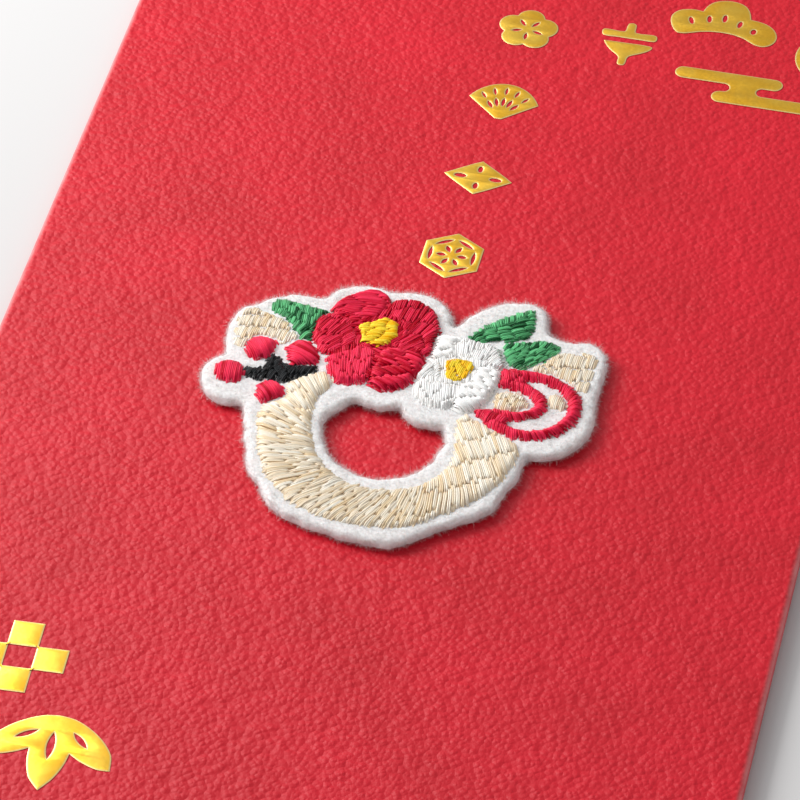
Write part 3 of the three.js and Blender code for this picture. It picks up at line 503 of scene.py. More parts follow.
def foldStrip(name, node, centre, direction, radius, start, end):
    # half a ring of paper along one edge; direction points out of the envelope, in the plane
    thickness = frontHigh[2] - frontLow[2]
    out = np.array([direction[0], direction[1], 0.0])
    along = np.array([-direction[1], direction[0], 0.0])
    steps = int((end - start) / foldLook["pitch"]) + 1
    waveLength, waveHeight = foldLook["wavy"]
    palest, spread = foldLook["wearAndHighlightAt"]
    vertices, wearAndHighlight = [], []
    for s in np.linspace(start, end, steps):
        for r in (radius, radius - thickness):
            for k in range(foldLook["turns"] + 1):
                angle = math.pi / 2 - math.pi * k / foldLook["turns"]
                squeeze = math.cos(angle)
                wave = waveHeight * noise.noise(Vector((s / waveLength, r, 5.0 + centre[0]))) * squeeze
                place = centre + along * s + out * ((r + wave) * squeeze)
                vertices.append(place + np.array([0, 0, r * math.sin(angle)]))
                # a pale band on the outer bend, palest at an angle facing up: partly wear, partly a
                # painted highlight
                edge = math.exp(-((angle - palest) / spread) ** 2) if r == radius else 0
                patchy = 0.75 + 0.5 * noise.noise(Vector((s / foldLook["patchyMm"], 3.0, centre[1])))
                wearAndHighlight.append(foldLook["wearAndHighlight"] * edge * patchy)
    ring = foldLook["turns"] + 1
    nextRow = 2 * ring
    faces = []
    for j in range(steps - 1):
        for k in range(ring - 1):
            outer = j * nextRow + k
            inner = outer + ring
            faces.append((outer, outer + nextRow, outer + nextRow + 1, outer + 1))
            faces.append((inner, inner + 1, inner + nextRow + 1, inner + nextRow))
        for k in (0, ring - 1):
            outer = j * nextRow + k
            wall = (outer, outer + ring, outer + ring + nextRow, outer + nextRow)
            faces.append(wall if k == 0 else wall[::-1])
    for j in (0, steps - 1):
        for k in range(ring - 1):
            outer = j * nextRow + k
            cap = (outer, outer + 1, outer + ring + 1, outer + ring)
            faces.append(cap if j == 0 else cap[::-1])
    piece = makeObject(name, vertices, faces, redPaper)
    setAttribute(piece, "wearAndHighlight", wearAndHighlight)
    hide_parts(node)
    if node == "top_crease":
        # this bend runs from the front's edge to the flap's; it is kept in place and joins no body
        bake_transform(piece)
    else:
        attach(piece, "envelope")


def folds():
    leftLow, leftHigh = nodeBox("left_crease")
    rightLow, rightHigh = nodeBox("right_crease")
    sideRadius = (rightHigh[2] - rightLow[2]) / 2
    sideLevel = (rightHigh[2] + rightLow[2]) / 2
    rightMiddle = np.array([rightLow[0], 0, sideLevel])
    leftMiddle = np.array([leftHigh[0], 0, sideLevel])
    foldStrip("right_fold", "right_crease", rightMiddle, (1, 0), sideRadius, rightLow[1], rightHigh[1])
    foldStrip("left_fold", "left_crease", leftMiddle, (-1, 0), sideRadius, -leftHigh[1], -leftLow[1])
    for name, node, sign in (("top_fold", "top_crease", 1), ("bottom_fold", "bottom_crease", -1)):
        low, high = nodeBox(node)
        radius = (high[2] - low[2]) / 2
        edge = low[1] if sign > 0 else high[1]
        foldStrip(name, node, np.array([0, edge, radius]), (0, sign), radius, low[0], high[0])


def closingFlap():
    # the flap as one sheet with its crease: it starts at the hinge line and is as the solid beyond
    ring = outlineLoops("top_flap")[0]
    low, high = nodeBox("top_flap")
    crease = nodeBox("top_crease")[0][1]
    ring[ring[:, 1] > high[1] - levelSlack, 1] = crease
    piece = prism("closing_flap", [ring], low[2], high[2], plainRedPaper)
    setAttribute(piece, "wearAndHighlight", np.zeros(len(piece.data.vertices)))
    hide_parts("top_flap")
    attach(piece, "top_flap")


def flatPaper():
    # the panels of the back and the glue are flat in the solids too, so they only get their material
    for node in ("left_side_panel", "right_side_panel", "bottom_flap"):
        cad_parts[node].data.materials.clear()
        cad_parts[node].data.materials.append(plainRedPaper)
    for node in ("seam_glue", "bottom_flap_glue", "patch_glue"):
        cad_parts[node].data.materials.clear()
        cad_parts[node].data.materials.append(driedGlue)


frontSheet()
folds()
closingFlap()
flatPaper()
print("paper made")


# gold prints
printLook = {
    "spacing": 0.22,       # between the points of a rounded rim
    "cornerDegrees": 34,   # a rim that turns more than this has a real corner there
    "rimWidth": 0.15,      # the rim slopes down over this width
    "rimDrop": 0.035,      # and by this much before its wall
    "smoothAngle": 50,
}


def roundedRim(ring):
    # more points along the curved stretches of a rim, while its real corners stay sharp
    count = len(ring)
    before, after = ring - np.roll(ring, 1, axis=0), np.roll(ring, -1, axis=0) - ring
    cross = before[:, 0] * after[:, 1] - before[:, 1] * after[:, 0]
    turn = np.degrees(np.arctan2(cross, (before * after).sum(1)))
    sharp = np.abs(turn) > printLook["cornerDegrees"]
    tangent = np.roll(ring, -1, axis=0) - np.roll(ring, 1, axis=0)
    tangent /= np.linalg.norm(tangent, axis=1)[:, None] + 1e-9
    points = []
    for i in range(count):
        j = (i + 1) % count
        chord = ring[j] - ring[i]
        length = np.linalg.norm(chord)
        first = chord / length if sharp[i] else tangent[i]
        last = chord / length if sharp[j] else tangent[j]
        steps = max(1, int(round(length / printLook["spacing"])))
        for k in range(steps):
            t = k / steps
            leave, arrive = t ** 3 - 2 * t ** 2 + t, t ** 3 - t ** 2
            nearStart, nearEnd = 2 * t ** 3 - 3 * t ** 2 + 1, -2 * t ** 3 + 3 * t ** 2
            points.append(nearStart * ring[i] + leave * first * length
                          + nearEnd * ring[j] + arrive * last * length)
    return np.array(points)


def stampedGold(node):
    # a thin plate with a sloping rim, built in levels between its outline and the outline drawn in
    low, high = nodeBox(node)
    rims = [roundedRim(ring) for ring in outlineLoops(node)]
    drawnIn = [widened(ring, -printLook["rimWidth"]) for ring in rims]
    shoulder = high[2] - printLook["rimDrop"]
    levels = [(rims, low[2], 1.0), (rims, shoulder, 1.0), (drawnIn, high[2], 0.0)]
    vertices, rimHighlightShare, faces = [], [], []
    for rings, height, share in levels:
        for ring in rings:
            vertices += [(x, y, height) for x, y in ring]
            rimHighlightShare += [share] * len(ring)
    perLevel = sum(len(ring) for ring in rims)
    first = 0
    for ring in rims:
        for i in range(len(ring)):
            a, b = first + i, first + (i + 1) % len(ring)
            for level in (0, perLevel):
                faces.append((level + a, level + b, level + perLevel + b, level + perLevel + a))
        first += len(ring)
    faces += list(filledRims(rims, False))
    faces += [tuple(2 * perLevel + i for i in face) for face in filledRims(drawnIn, True)]
    piece = makeObject(node + "_foil", vertices, faces, goldFoil, printLook["smoothAngle"])
    # the wall is painted in the paler rim colour, fading to the gold over the slope: a painted highlight
    setAttribute(piece, "rim", rimHighlightShare)
    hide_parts(node)
    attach(piece, "envelope")


for node in sorted(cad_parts):
    if node.startswith("gold_"):
        stampedGold(node)
print("gold prints made")


# felt
feltShape = {
    "voxel": 0.17,
    "smoothSteps": 14,
    "wander": (1.1, 0.16),     # size and depth of the uneven die-cut rim
    "lump": (0.8, 0.06),       # of the soft lumps all over
    "nub": (0.3, 0.035),       # and of the small nubs
    "flare": 0.24,             # how far the cut wall slopes out
    "offPaper": (0.02, 0.005),    # of its underside before it is made uneven, and at least after that
    "fibres": 24000,
    "fibreLength": (0.12, 0.62),
    "fibreWidth": 0.02,
    "fibreRise": (0.12, 0.75),    # 0 lies on the felt, 1 stands straight off it
    "fibreCurl": 0.35,
    "rimHighlightShare": 3.0,              # how many more fibres stand at the rims
    "seed": 21,
}


def feltWreath():
    loops = [roundedRim(ring) for ring in outlineLoops("felt_base")]
    rawGap, leastGap = feltShape["offPaper"]
    piece = prism("felt_wreath", loops, feltLow[2] + rawGap, feltTop, whiteFelt)
    remesh = piece.modifiers.new("remesh", "REMESH")
    remesh.mode = "VOXEL"
    remesh.voxel_size = feltShape["voxel"] * mm
    smooth = piece.modifiers.new("smooth", "SMOOTH")
    smooth.factor = 0.5
    smooth.iterations = feltShape["smoothSteps"]
    applyModifiers(piece)
    mesh = piece.data
    places = np.array([v.co for v in mesh.vertices]) / mm
    normals = np.array([v.normal for v in mesh.vertices])
    lift = np.zeros((len(places), 3))
    for key, shift in (("wander", 0.0), ("lump", 9.0), ("nub", 17.0)):
        size, depth = feltShape[key]
        height = depth * np.array([noise.noise(Vector(p / size + shift)) for p in places])
        outwards = normals * (1, 1, 0) if key == "wander" else normals
        lift += outwards * height[:, None]
    places += lift
    # the cut wall slopes out a little towards the paper
    depth = np.clip((feltTop - places[:, 2]) / (feltTop - feltLow[2]), 0, 1)
    places += normals * (1, 1, 0) * (feltShape["flare"] * depth)[:, None]
    places[:, 2] = np.maximum(places[:, 2], feltLow[2] + leastGap)
    mesh.vertices.foreach_set("co", (places * mm).astype(np.float32).ravel())
    mesh.update()
    mesh.shade_smooth()
    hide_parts("felt_base")
    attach(piece, "envelope")
    areas = sorted(abs(signedArea(ring)) for ring in loops)
    return piece, areas[-1] - sum(areas[:-1])


def feltFibres(felt):
    # loose fibres standing off the felt, most of them at its rims
    random = np.random.default_rng(feltShape["seed"])
    mesh = felt.data
    centres = np.array([p.center for p in mesh.polygons]) / mm
    normals = np.array([p.normal for p in mesh.polygons])
    weight = 1 + feltShape["rimHighlightShare"] * np.clip(0.9 - np.abs(normals[:, 2]), 0, 1)
    weight[normals[:, 2] < -0.5] = 0    # the underside has none
    # none come up through the stitches
    stitched = ("straw", "camellia", "plum", "leaf", "berry", "cord")
    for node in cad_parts:
        if node.split("_")[0] in stitched:
            low, high = nodeBox(node)
            near = np.all((centres[:, :2] > low[:2]) & (centres[:, :2] < high[:2]), axis=1)
            near[near] = distanceInside(centres[near, :2], outlineLoops(node)[0]) > -0.1
            weight[near] = 0
    picked = random.choice(len(centres), feltShape["fibres"], p=weight / weight.sum())
    count = len(picked)
    root = centres[picked] + random.normal(0, 0.06, (count, 3))
    root -= normals[picked] * 0.03
    lean = random.normal(0, 1, (count, 3))
    lean -= normals[picked] * (lean * normals[picked]).sum(1)[:, None]
    lean /= np.linalg.norm(lean, axis=1)[:, None]
    length = random.uniform(*feltShape["fibreLength"], count)[:, None]
    rise = random.uniform(*feltShape["fibreRise"], count)[:, None]
    direction = lean * (1 - rise) + normals[picked] * rise
    direction /= np.linalg.norm(direction, axis=1)[:, None]
    curl = random.normal(0, feltShape["fibreCurl"], (count, 3))
    steps = 4    # points along a fibre
    spine = []
    for k in range(steps):
        t = k / (steps - 1)
        spine.append(root + direction * length * t + curl * length * t * t * 0.6)
    spine = np.stack(spine, 1)
    spine[:, :, 2] = np.maximum(spine[:, :, 2], paperTop + 0.03)    # clear of the paper
    side = np.cross(direction, [0.3, 0.2, 1.0])
    side /= np.linalg.norm(side, axis=1)[:, None]
    other = np.cross(direction, side)
    vertices, faces = [], []
    for i in range(count):
        base = len(vertices)
        for k in range(steps - 1):
            radius = feltShape["fibreWidth"] / 2 * (1 - 0.25 * k)
            for m in range(3):
                angle = m * 2 * math.pi / 3
                spoke = side[i] * math.cos(angle) + other[i] * math.sin(angle)
                vertices.append(spine[i, k] + radius * spoke)
        vertices.append(spine[i, -1])
        for k in range(steps - 2):
            for m in range(3):
                a = base + 3 * k + m
                b = base + 3 * k + (m + 1) % 3
                faces.append((a, b, b + 3, a + 3))
        tip = base + 3 * (steps - 1)
        for m in range(3):
            faces.append((tip - 3 + m, tip - 3 + (m + 1) % 3, tip))
        faces.append((base + 2, base + 1, base))
    piece = makeObject("felt_fibres", vertices, faces, whiteFelt, 0)
    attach(piece, "envelope")
    return piece


feltPiece, feltArea = feltWreath()
fuzz = feltFibres(feltPiece)
print("felt made")


# embroidery
threadShape = {
    "pitch": 0.29,         # between neighbouring threads
    "strands": 2,          # of one thread, side by side
    "strandPitch": 0.142,
    "width": 0.19,         # of a strand
    "height": 0.17,
    "samples": 9,          # rings along a stitch
    "sides": 6,
    "spill": 0.15,         # how far stitches reach past the outline of the solid
    "ragged": 0.24,        # how unevenly they end there
    "lap": 0.06,           # how far stitches of one thread lap each other
    "sink": 0.09,          # how far a stitch dives at its ends
    "sinkOver": 0.17,      # and over what length
    "arch": 0.03,          # how far its middle rises
    "uneven": (0.02, 0.008),    # spread in height of threads, and of the strands of one
    "round": 0.9,          # width over which a stitched area rises from its rim
    "underlay": 0.06,      # the padding stays this far below the stitches
    # the padding, seen between the stitches, is painted darker with this: a painted shade
    "paddingShade": 0.3,
    "step": 0.09,          # between the points of a thread while it is laid
    "crowding": 0.62,      # a thread ends where another is nearer than this share of the pitch
    "free": 0.93,          # and starts only where none is nearer than this share of it
    "shortest": 0.28,      # shorter threads aren't sewn
    "shortestStitch": 0.5,
    "longestStitch": 2.4,  # where the area's own look doesn't say
    "brick": 0.38,         # how far each row's joints are moved on, as a share of a stitch
}


class AreaMask:
    # tells quickly whether a point lies inside a rim
    def __init__(self, ring, cell=0.05):
        self.low = ring.min(0) - 0.5
        self.cell = cell
        self.shape = np.ceil((ring.max(0) + 0.5 - self.low) / cell).astype(int)
        middles = [self.low[i] + (np.arange(self.shape[i]) + 0.5) * cell for i in (0, 1)]
        x, y = np.meshgrid(*middles, indexing="ij")
        points = np.c_[x.ravel(), y.ravel()]
        self.inside = (distanceInside(points, ring) > 0).reshape(self.shape)

    def __call__(self, x, y):
        i, j = int((x - self.low[0]) / self.cell), int((y - self.low[1]) / self.cell)
        return 0 <= i < self.shape[0] and 0 <= j < self.shape[1] and self.inside[i, j]


def directionField(keys):
    # the way that threads lie, blended between the nearest of the given directions
    spots = np.array([(x + wreathCentre[0], y + wreathCentre[1]) for x, y, angle in keys])
    doubled = np.radians([2 * angle for x, y, angle in keys])
    cosines, sines = np.cos(doubled), np.sin(doubled)

    def field(x, y):
        weight = 1 / (((spots - (x, y)) ** 2).sum(1) + 0.05) ** 2
        angle = 0.5 * math.atan2((weight * sines).sum(), (weight * cosines).sum())
        return math.cos(angle), math.sin(angle)
    return field


class ThreadBed:
    # lays threads side by side at an even pitch, following the field, until the area is full
    def __init__(self, ring, field, pitch):
        self.inside, self.field, self.pitch = AreaMask(ring), field, pitch
        self.taken = {}
        self.lines = []
        self.start(ring.mean(0))

    def clear(self, x, y, distance):
        i, j = int(x / self.pitch), int(y / self.pitch)
        near = distance * distance
        for a in (i - 1, i, i + 1):
            for b in (j - 1, j, j + 1):
                for px, py in self.taken.get((a, b), ()):
                    if (px - x) ** 2 + (py - y) ** 2 < near:
                        return False
        return True

    def lay(self, x, y):
        nearest = self.pitch * threadShape["crowding"]
        halves = []
        for sign in (1, -1):
            half = []
            px, py = x, y
            dx, dy = self.field(px, py)
            dx, dy = dx * sign, dy * sign
            while len(half) < 400:    # so that no thread runs in circles
                nx, ny = px + dx * threadShape["step"], py + dy * threadShape["step"]
                if not self.inside(nx, ny) or not self.clear(nx, ny, nearest):
                    break
                half.append((nx, ny))
                fx, fy = self.field(nx, ny)
                if fx * dx + fy * dy < 0:
                    fx, fy = -fx, -fy
                px, py, dx, dy = nx, ny, fx, fy
            halves.append(half)
        line = halves[1][::-1] + [(x, y)] + halves[0]
        if len(line) * threadShape["step"] < threadShape["shortest"]:
            return None
        for px, py in line:
            self.taken.setdefault((int(px / self.pitch), int(py / self.pitch)), []).append((px, py))
        self.lines.append(line)
        return line

    def free(self, x, y):
        return self.inside(x, y) and self.clear(x, y, self.pitch * threadShape["free"])

    def start(self, middle):
        if self.inside(*middle):
            self.grow(tuple(middle))
        # seeds over the whole area catch what the first lines can't reach
        for i in range(0, self.inside.shape[0], 5):
            for j in range(0, self.inside.shape[1], 5):
                x = self.inside.low[0] + i * self.inside.cell
                y = self.inside.low[1] + j * self.inside.cell
                if self.free(x, y):
                    self.grow((x, y))

    def grow(self, seed):
        first = self.lay(*seed)
        waiting = [first] if first else []
        while waiting:
            line = waiting.pop(0)
            for x, y in line[::3]:
                dx, dy = self.field(x, y)
                for sign in (1, -1):
                    nx, ny = x - dy * self.pitch * sign, y + dx * self.pitch * sign
                    made = self.lay(nx, ny) if self.free(nx, ny) else None
                    if made:
                        waiting.append(made)


def cutThread(line, look, number, random):
    # a long thread is sewn as several stitches, in bands across the area or staggered like bricks
    points = np.array(line)
    step = threadShape["step"]
    count = len(points)
    if "bands" in look:
        spacing, slope, offset = look["bands"]
        where = points - wreathCentre
        level = (where[:, 1] - slope * where[:, 0] - offset) / spacing + random.normal(0, 0.07)
        cuts = list(np.nonzero(np.diff(np.floor(level)))[0] + 1)
    else:
        longest = look.get("longest", threadShape["longestStitch"])
        cuts = []
        if count * step >= longest * 1.25:
            # neighbours start at different places, as in a brick wall
            phase = ((number * threadShape["brick"]) % 1 + random.normal(0, 0.06)) * longest
            cuts = [int(phase / step + k * longest / step) for k in range(30)]
    shortest = threadShape["shortestStitch"] / step
    kept = []
    for cut in cuts:
        if cut > (kept[-1] if kept else 0) + shortest and cut < count - shortest:
            kept.append(cut)
    ends = [0] + kept + [count - 1]
    return [points[a:b + 1] for a, b in zip(ends, ends[1:]) if b - a >= 2]


def resampled(points, stretch):
    # the same number of rings on every stitch, closer together at its ends
    start, end = points[0], points[-1]
    run = (end - start) / (np.linalg.norm(end - start) + 1e-9)
    points = np.vstack([start - run * stretch[0], points, end + run * stretch[1]])
    lengths = np.r_[0, np.cumsum(np.linalg.norm(np.diff(points, axis=0), axis=1))]
    share = 0.5 - 0.5 * np.cos(np.linspace(0, math.pi, threadShape["samples"]))
    return np.c_[[np.interp(share * lengths[-1], lengths, points[:, i]) for i in (0, 1)]].T


def surfaceHeight(points, ring, rise, rounding):
    inside = np.clip(distanceInside(points, ring) / rounding, 0, 1)
    return feltTop + rise * np.sqrt(np.clip(1 - (1 - inside) ** 2, 0, 1))


def directionsOf(place):
    # along each line of points and across it
    along = np.gradient(place, axis=1)
    along /= np.linalg.norm(along, axis=2)[..., None] + 1e-9
    return along, np.stack([-along[..., 1], along[..., 0]], axis=2)


def strandsOf(stitches, random):
    # each stitch as strands side by side, which part a little at its ends
    place = np.array(stitches)
    along, across = directionsOf(place)
    share = np.linspace(-1, 1, threadShape["samples"])
    strands = []
    for number in range(threadShape["strands"]):
        side = number - (threadShape["strands"] - 1) / 2
        gap = threadShape["strandPitch"] * side + random.normal(0, 0.014, len(place))
        drift = random.normal(0, 0.02, (2, len(place)))
        offset = gap[:, None] + drift[0][:, None] * share + drift[1][:, None] * share ** 2
        slip = random.normal(0, 0.035, (len(place), 1)) * share ** 2
        strands.append(place + across * offset[..., None] + along * slip[..., None])
    return np.stack(strands, axis=1).reshape(-1, threadShape["samples"], 2)


def threadTubes(stitches, ring, rise, look, random):
    # every strand as a fine tube that dives into the felt at both ends
    place = strandsOf(stitches, random)
    count, samples, sides = len(place), threadShape["samples"], threadShape["sides"]
    steps = np.linalg.norm(np.diff(place, axis=1), axis=2)
    travelled = np.concatenate([np.zeros((count, 1)), np.cumsum(steps, axis=1)], axis=1)
    length = travelled[:, -1:]
    across = directionsOf(place)[1]
    fromEnd = np.minimum(travelled, length - travelled)
    rounding = look.get("round", threadShape["round"])
    base = surfaceHeight(place.reshape(-1, 2), ring, rise, rounding).reshape(count, samples)
    perThread = threadShape["strands"]
    threadUneven, strandUneven = threadShape["uneven"]
    middle = np.tile(np.abs(np.arange(perThread) - (perThread - 1) / 2), count // perThread)
    threadLift = np.repeat(random.normal(0, threadUneven, count // perThread), perThread)
    lift = threadLift + random.normal(0, strandUneven, count) - 0.02 * middle
    arch = threadShape["arch"] * np.sin(math.pi * travelled / length)
    sink = threadShape["sink"] * np.exp(-(fromEnd / threadShape["sinkOver"]) ** 2)
    height = base + arch - sink + lift[:, None]
    taper = np.minimum(1, fromEnd / 0.25)
    width = threadShape["width"] / 2 * (0.5 + 0.5 * taper) * random.normal(1, 0.1, count)[:, None]
    thick = threadShape["height"] / 2 * (0.5 + 0.5 * taper)
    rings = []
    for k in range(sides):
        angle = 2 * math.pi * k / sides
        xy = place + across * (width * math.cos(angle))[..., None]
        rings.append(np.concatenate([xy, (height + thick * math.sin(angle))[..., None]], axis=2))
    tube = np.stack(rings, axis=2)
    tips = np.concatenate([place[:, [0, -1]], (height[:, [0, -1]] - 0.02)[..., None]], axis=2)
    vertices = np.concatenate([tube.reshape(count, -1, 3), tips], axis=1)
    perStitch = samples * sides + 2
    quads, caps = [], []
    last = (samples - 1) * sides
    for k in range(sides):
        following = (k + 1) % sides
        caps.append((samples * sides, following, k))
        caps.append((samples * sides + 1, last + k, last + following))
        for j in range(0, last, sides):
            quads.append((j + k, j + following, j + sides + following, j + sides + k))
    offsets = (np.arange(count) * perStitch)[:, None, None]
    faces = [list(f) for f in (np.array(quads)[None] + offsets).reshape(-1, 4)]
    faces += [list(f) for f in (np.array(caps)[None] + offsets).reshape(-1, 3)]
    u = np.concatenate([np.repeat(travelled, sides, axis=1), np.zeros((count, 1)), length], axis=1)
    v = np.tile(np.arange(sides) / sides, (count, samples)) + random.uniform(0, 50, count)[:, None]
    v = np.concatenate([v, v[:, :1], v[:, :1]], axis=1)
    # how light an area's threads are, from the dark shade at 0 to the light one at 1: partly the thread's
    # own tone, partly painted light where areas of one thread are made lighter or darker for how light
    # falls on them
    threadShade = np.repeat(random.normal(look.get("toneAndPaintedLight", 0.5), 0.3, count // perThread), perThread)
    shade = np.clip(threadShade + random.normal(0, 0.16, count), 0, 1)
    shade = np.repeat(shade[:, None], perStitch, axis=1)
    # depth falls to 0 where a strand dives in and at its tips; the material paints the darker hollow
    # colour there, a painted shade
    depth = np.repeat(np.minimum(1, fromEnd / 0.22), sides, axis=1)
    depth = np.concatenate([depth, np.zeros((count, 2))], axis=1)
    uv = np.stack([u, v], 2).reshape(-1, 2)
    return vertices.reshape(-1, 3), faces, uv, shade.ravel(), depth.ravel()


def stitchedPiece(node, material, look):
    # node is the solid that the piece stands for, or a new name with a rim of its own in look;
    # there low is a height above the felt, bands are a spacing, a slope and an offset, and bare
    # is the width of felt left between them
    like = look.get("like", node)
    ring = outlineLoops(node)[0] if like == node else np.array(look["rim"]) + wreathCentre
    low, high = nodeBox(like)
    seed = sum(ord(letter) * (i + 3) for i, letter in enumerate(node))
    random = np.random.default_rng(seed)
    rise = look.get("low", (high[2] - low[2]) - threadShape["height"] / 2)
    wide = widened(ring, look.get("spill", threadShape["spill"]))
    keys = look["keys"] if "keys" in look else [(0, 0, look["angle"])]
    bed = ThreadBed(wide, directionField(keys), threadShape["pitch"])
    stitches = []
    for number, line in enumerate(bed.lines):
        middle = np.array(line[len(line) // 2]) - wreathCentre
        cutLook = look
        if "bandsRightOf" in look and middle[0] < look["bandsRightOf"]:
            cutLook = {"longest": look["longest"]}
        cuts = cutThread(line, cutLook, number, random)
        if "bare" in look:
            spare = int(look["bare"] / 2 / threadShape["step"])
            cuts = [part[spare:-spare] for part in cuts if len(part) > 2 * spare + 4]
        for k, part in enumerate(cuts):
            # the outer ends are ragged, the inner ones lap the next stitch a little
            stretch = [threadShape["lap"]] * 2
            if k == 0:
                stretch[0] = random.uniform(0, threadShape["ragged"])
            if k == len(cuts) - 1:
                stretch[1] = random.uniform(0, threadShape["ragged"])
            stitches.append(resampled(part, stretch))
    tubes, faces, uv, shade, depth = threadTubes(stitches, ring, rise, look, random)
    padding, paddingFaces = paddingMesh(ring, rise - threadShape["underlay"])
    if "bare" in look:
        # the felt shows between the bands, so there is no padding
        padding, paddingFaces = padding[:0], []
    extra = len(padding)
    faces += [[i + len(tubes) for i in face] for face in paddingFaces]
    piece = makeObject(node + "_stitches", np.concatenate([tubes, padding]), faces, material, 0)
    # the padding gets a dark tone and the hollow colour, painted shade in the gaps under the stitches
    paddingShade = np.full(extra, threadShape["paddingShade"])
    setAttribute(piece, "shade", np.r_[shade, paddingShade])
    setAttribute(piece, "depth", np.r_[depth, paddingShade])
    uv = np.concatenate([uv, np.zeros((extra, 2))])
    layer = piece.data.uv_layers.new(name="thread")
    corners = np.zeros(len(piece.data.loops), np.int32)
    piece.data.loops.foreach_get("vertex_index", corners)
    layer.data.foreach_set("uv", uv[corners].astype(np.float32).ravel())
    if like == node:
        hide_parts(node)
    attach(piece, "envelope")


def paddingMesh(ring, rise):
    # the underlay of a stitched area: a low closed mound inside its rim
    levels = [(0.0, -0.12), (0.04, 0.0), (0.13, 0.55), (0.24, 0.85)]    # inset, share of the height
    rings = []
    for inset, share in levels:
        shifted = widened(ring, -inset)
        rings.append(np.c_[shifted, np.full(len(ring), feltTop + max(0.02, rise) * share)])
    count = len(ring)
    vertices = np.concatenate(rings)
    faces = []
    for level in range(len(levels) - 1):
        for i in range(count):
            a, b = level * count + i, level * count + (i + 1) % count
            faces.append((a, b, b + count, a + count))
    for first, upwards in ((0, False), ((len(levels) - 1) * count, True)):
        filling = filledRims([vertices[first:first + count, :2]], upwards)
        faces += [tuple(first + i for i in face) for face in filling]
    return vertices, faces


# where the threads of each area point: an angle in degrees, or some of them with their places,
# counted from the wreath's centre
strawLook = {
    "straw_ring": {
        "keys": [(-6.2, 7.6, 104), (-7.4, 6.2, 112), (-8.6, 4.6, 126), (-9, 3, 134), (-7.5, 2, 128),
                 (-8.3, 0.8, 150), (-9.1, -1, 159), (-9.1, -2.1, 170), (-8, -3.5, 1), (-7.7, -4.5, 6),
                 (-7.4, -5.4, 16), (-7.1, -6.4, 25), (-6.5, -7.2, 31), (-5.5, -7.3, 37), (-4.5, -7.7, 41),
                 (-3.3, -7.4, 50), (-2.2, -8.3, 52), (0.1, -8.6, 59), (1.8, -8.4, 71), (3.4, -7.6, 84),
                 (5.2, -6.6, 96), (6.4, -3.6, 112), (8.3, -3, 114), (9.1, -1.5, 117), (7, 0.3, 118),
                 (8.6, 2, 116)],
        "longest": 2.5,
        "bands": (2.7, 0.62, -0.7),
        "bandsRightOf": 4.2,
    },
    "straw_ends_left": {"angle": 84, "bands": (1.45, 0.12, 0.1), "bare": 0.3, "low": 0.1},
    "straw_ends_right": {"angle": 88, "bands": (1.55, 0.12, 0.3), "bare": 0.35, "low": 0.1},
    "straw_tuft_inner": {"angle": 84, "longest": 1.0},
    "straw_tuft_outer": {"angle": 88},
}
for node, look in strawLook.items():
    stitchedPiece(node, threads["straw"], look)

petalShape = {"spill": 0.3, "round": 0.3}
# lower threads close the seams between the petals; their dark tone is a painted shade between the petals
seamShape = {"spill": 0.0, "round": 0.15, "low": 0.33, "longest": 1.6}
camelliaLook = {
    "camellia_seams": {
        **seamShape, "like": "camellia_centre", "toneAndPaintedLight": 0.25,
        "keys": [(-6.6, 12.2, 20), (-3, 13, 80), (-1.6, 10.6, 50), (-3, 8.6, -20), (-6, 8.6, 100)],
        "rim": [(-7.8, 13.05), (-6.9, 10.6), (-6.9, 8.2), (-4.8, 7.6), (-3.1, 5.9), (-1.8, 8),
                (0.6, 9.75), (-1, 12.5), (-3.25, 15.4), (-5.2, 14.2)]},
    # the petals are one crimson thread, and their tones paint light on it: petal 4 at the lower left is
    # lighter, a painted sheen, petal 3 at the lower right darker, a painted shade, and petal 1 at the top
    # a little lighter
    "camellia_petal_1": {
        "keys": [(-6.6, 13.4, 24), (-4.6, 14.4, 4), (-2.6, 13.6, -14)],
        "longest": 2.6, "toneAndPaintedLight": 0.65, "spill": 0.12},
    "camellia_petal_2": {
        "keys": [(-2.9, 14.9, 88), (-1.4, 14.2, 80), (-0.3, 12.9, 68), (0, 11.5, 54), (-0.4, 9.9, 40)],
        "longest": 1.7, "spill": 0.16},
    "camellia_petal_3": {"keys": [(-2.4, 9, -14), (-0.8, 6.8, -25)], "longest": 1.7, "toneAndPaintedLight": 0.3},
    "camellia_petal_4": {"keys": [(-6.6, 7.6, 110), (-4.4, 7.2, 98)], "longest": 1.7, "toneAndPaintedLight": 0.9},
    "camellia_petal_5": {"keys": [(-8, 11.4, 66), (-6.4, 9.6, 52)], "longest": 1.8},
}
for node, look in camelliaLook.items():
    stitchedPiece(node, threads["crimson"], {**petalShape, **look})
stitchedPiece("camellia_centre", threads["yellow"],
              {"angle": 8, "longest": 1.3, "spill": 0.34, "round": 0.2, "low": 0.5, "toneAndPaintedLight": 0.55})

plumLook = {
    "plum_seams": {
        **seamShape, "like": "plum_centre", "toneAndPaintedLight": 0.3, "angle": 100,
        "rim": [(1.7, 9.35), (2, 8), (1.2, 6.85), (2.9, 5.8), (4.25, 4.6), (5.7, 7), (7.2, 9.45),
                (4.8, 10.8), (3.25, 12.2), (2.6, 10.8)]},
    "plum_petal_1": {"angle": 148, "longest": 1.9},
    "plum_petal_2": {"keys": [(3.6, 11.8, 100), (5.2, 11.6, 84), (6.8, 10.8, 60)], "longest": 2.0},
    "plum_petal_3": {"angle": 153, "longest": 1.8},
    "plum_petal_4": {"angle": 100, "longest": 2.0},
    "plum_petal_5": {"angle": 62, "longest": 2.0},
}
for node, look in plumLook.items():
    stitchedPiece(node, threads["white"], {**petalShape, **look})
stitchedPiece("plum_centre", threads["yellow"],
              {"angle": 82, "longest": 1.2, "spill": 0.26, "round": 0.2, "low": 0.5, "toneAndPaintedLight": 0.6})

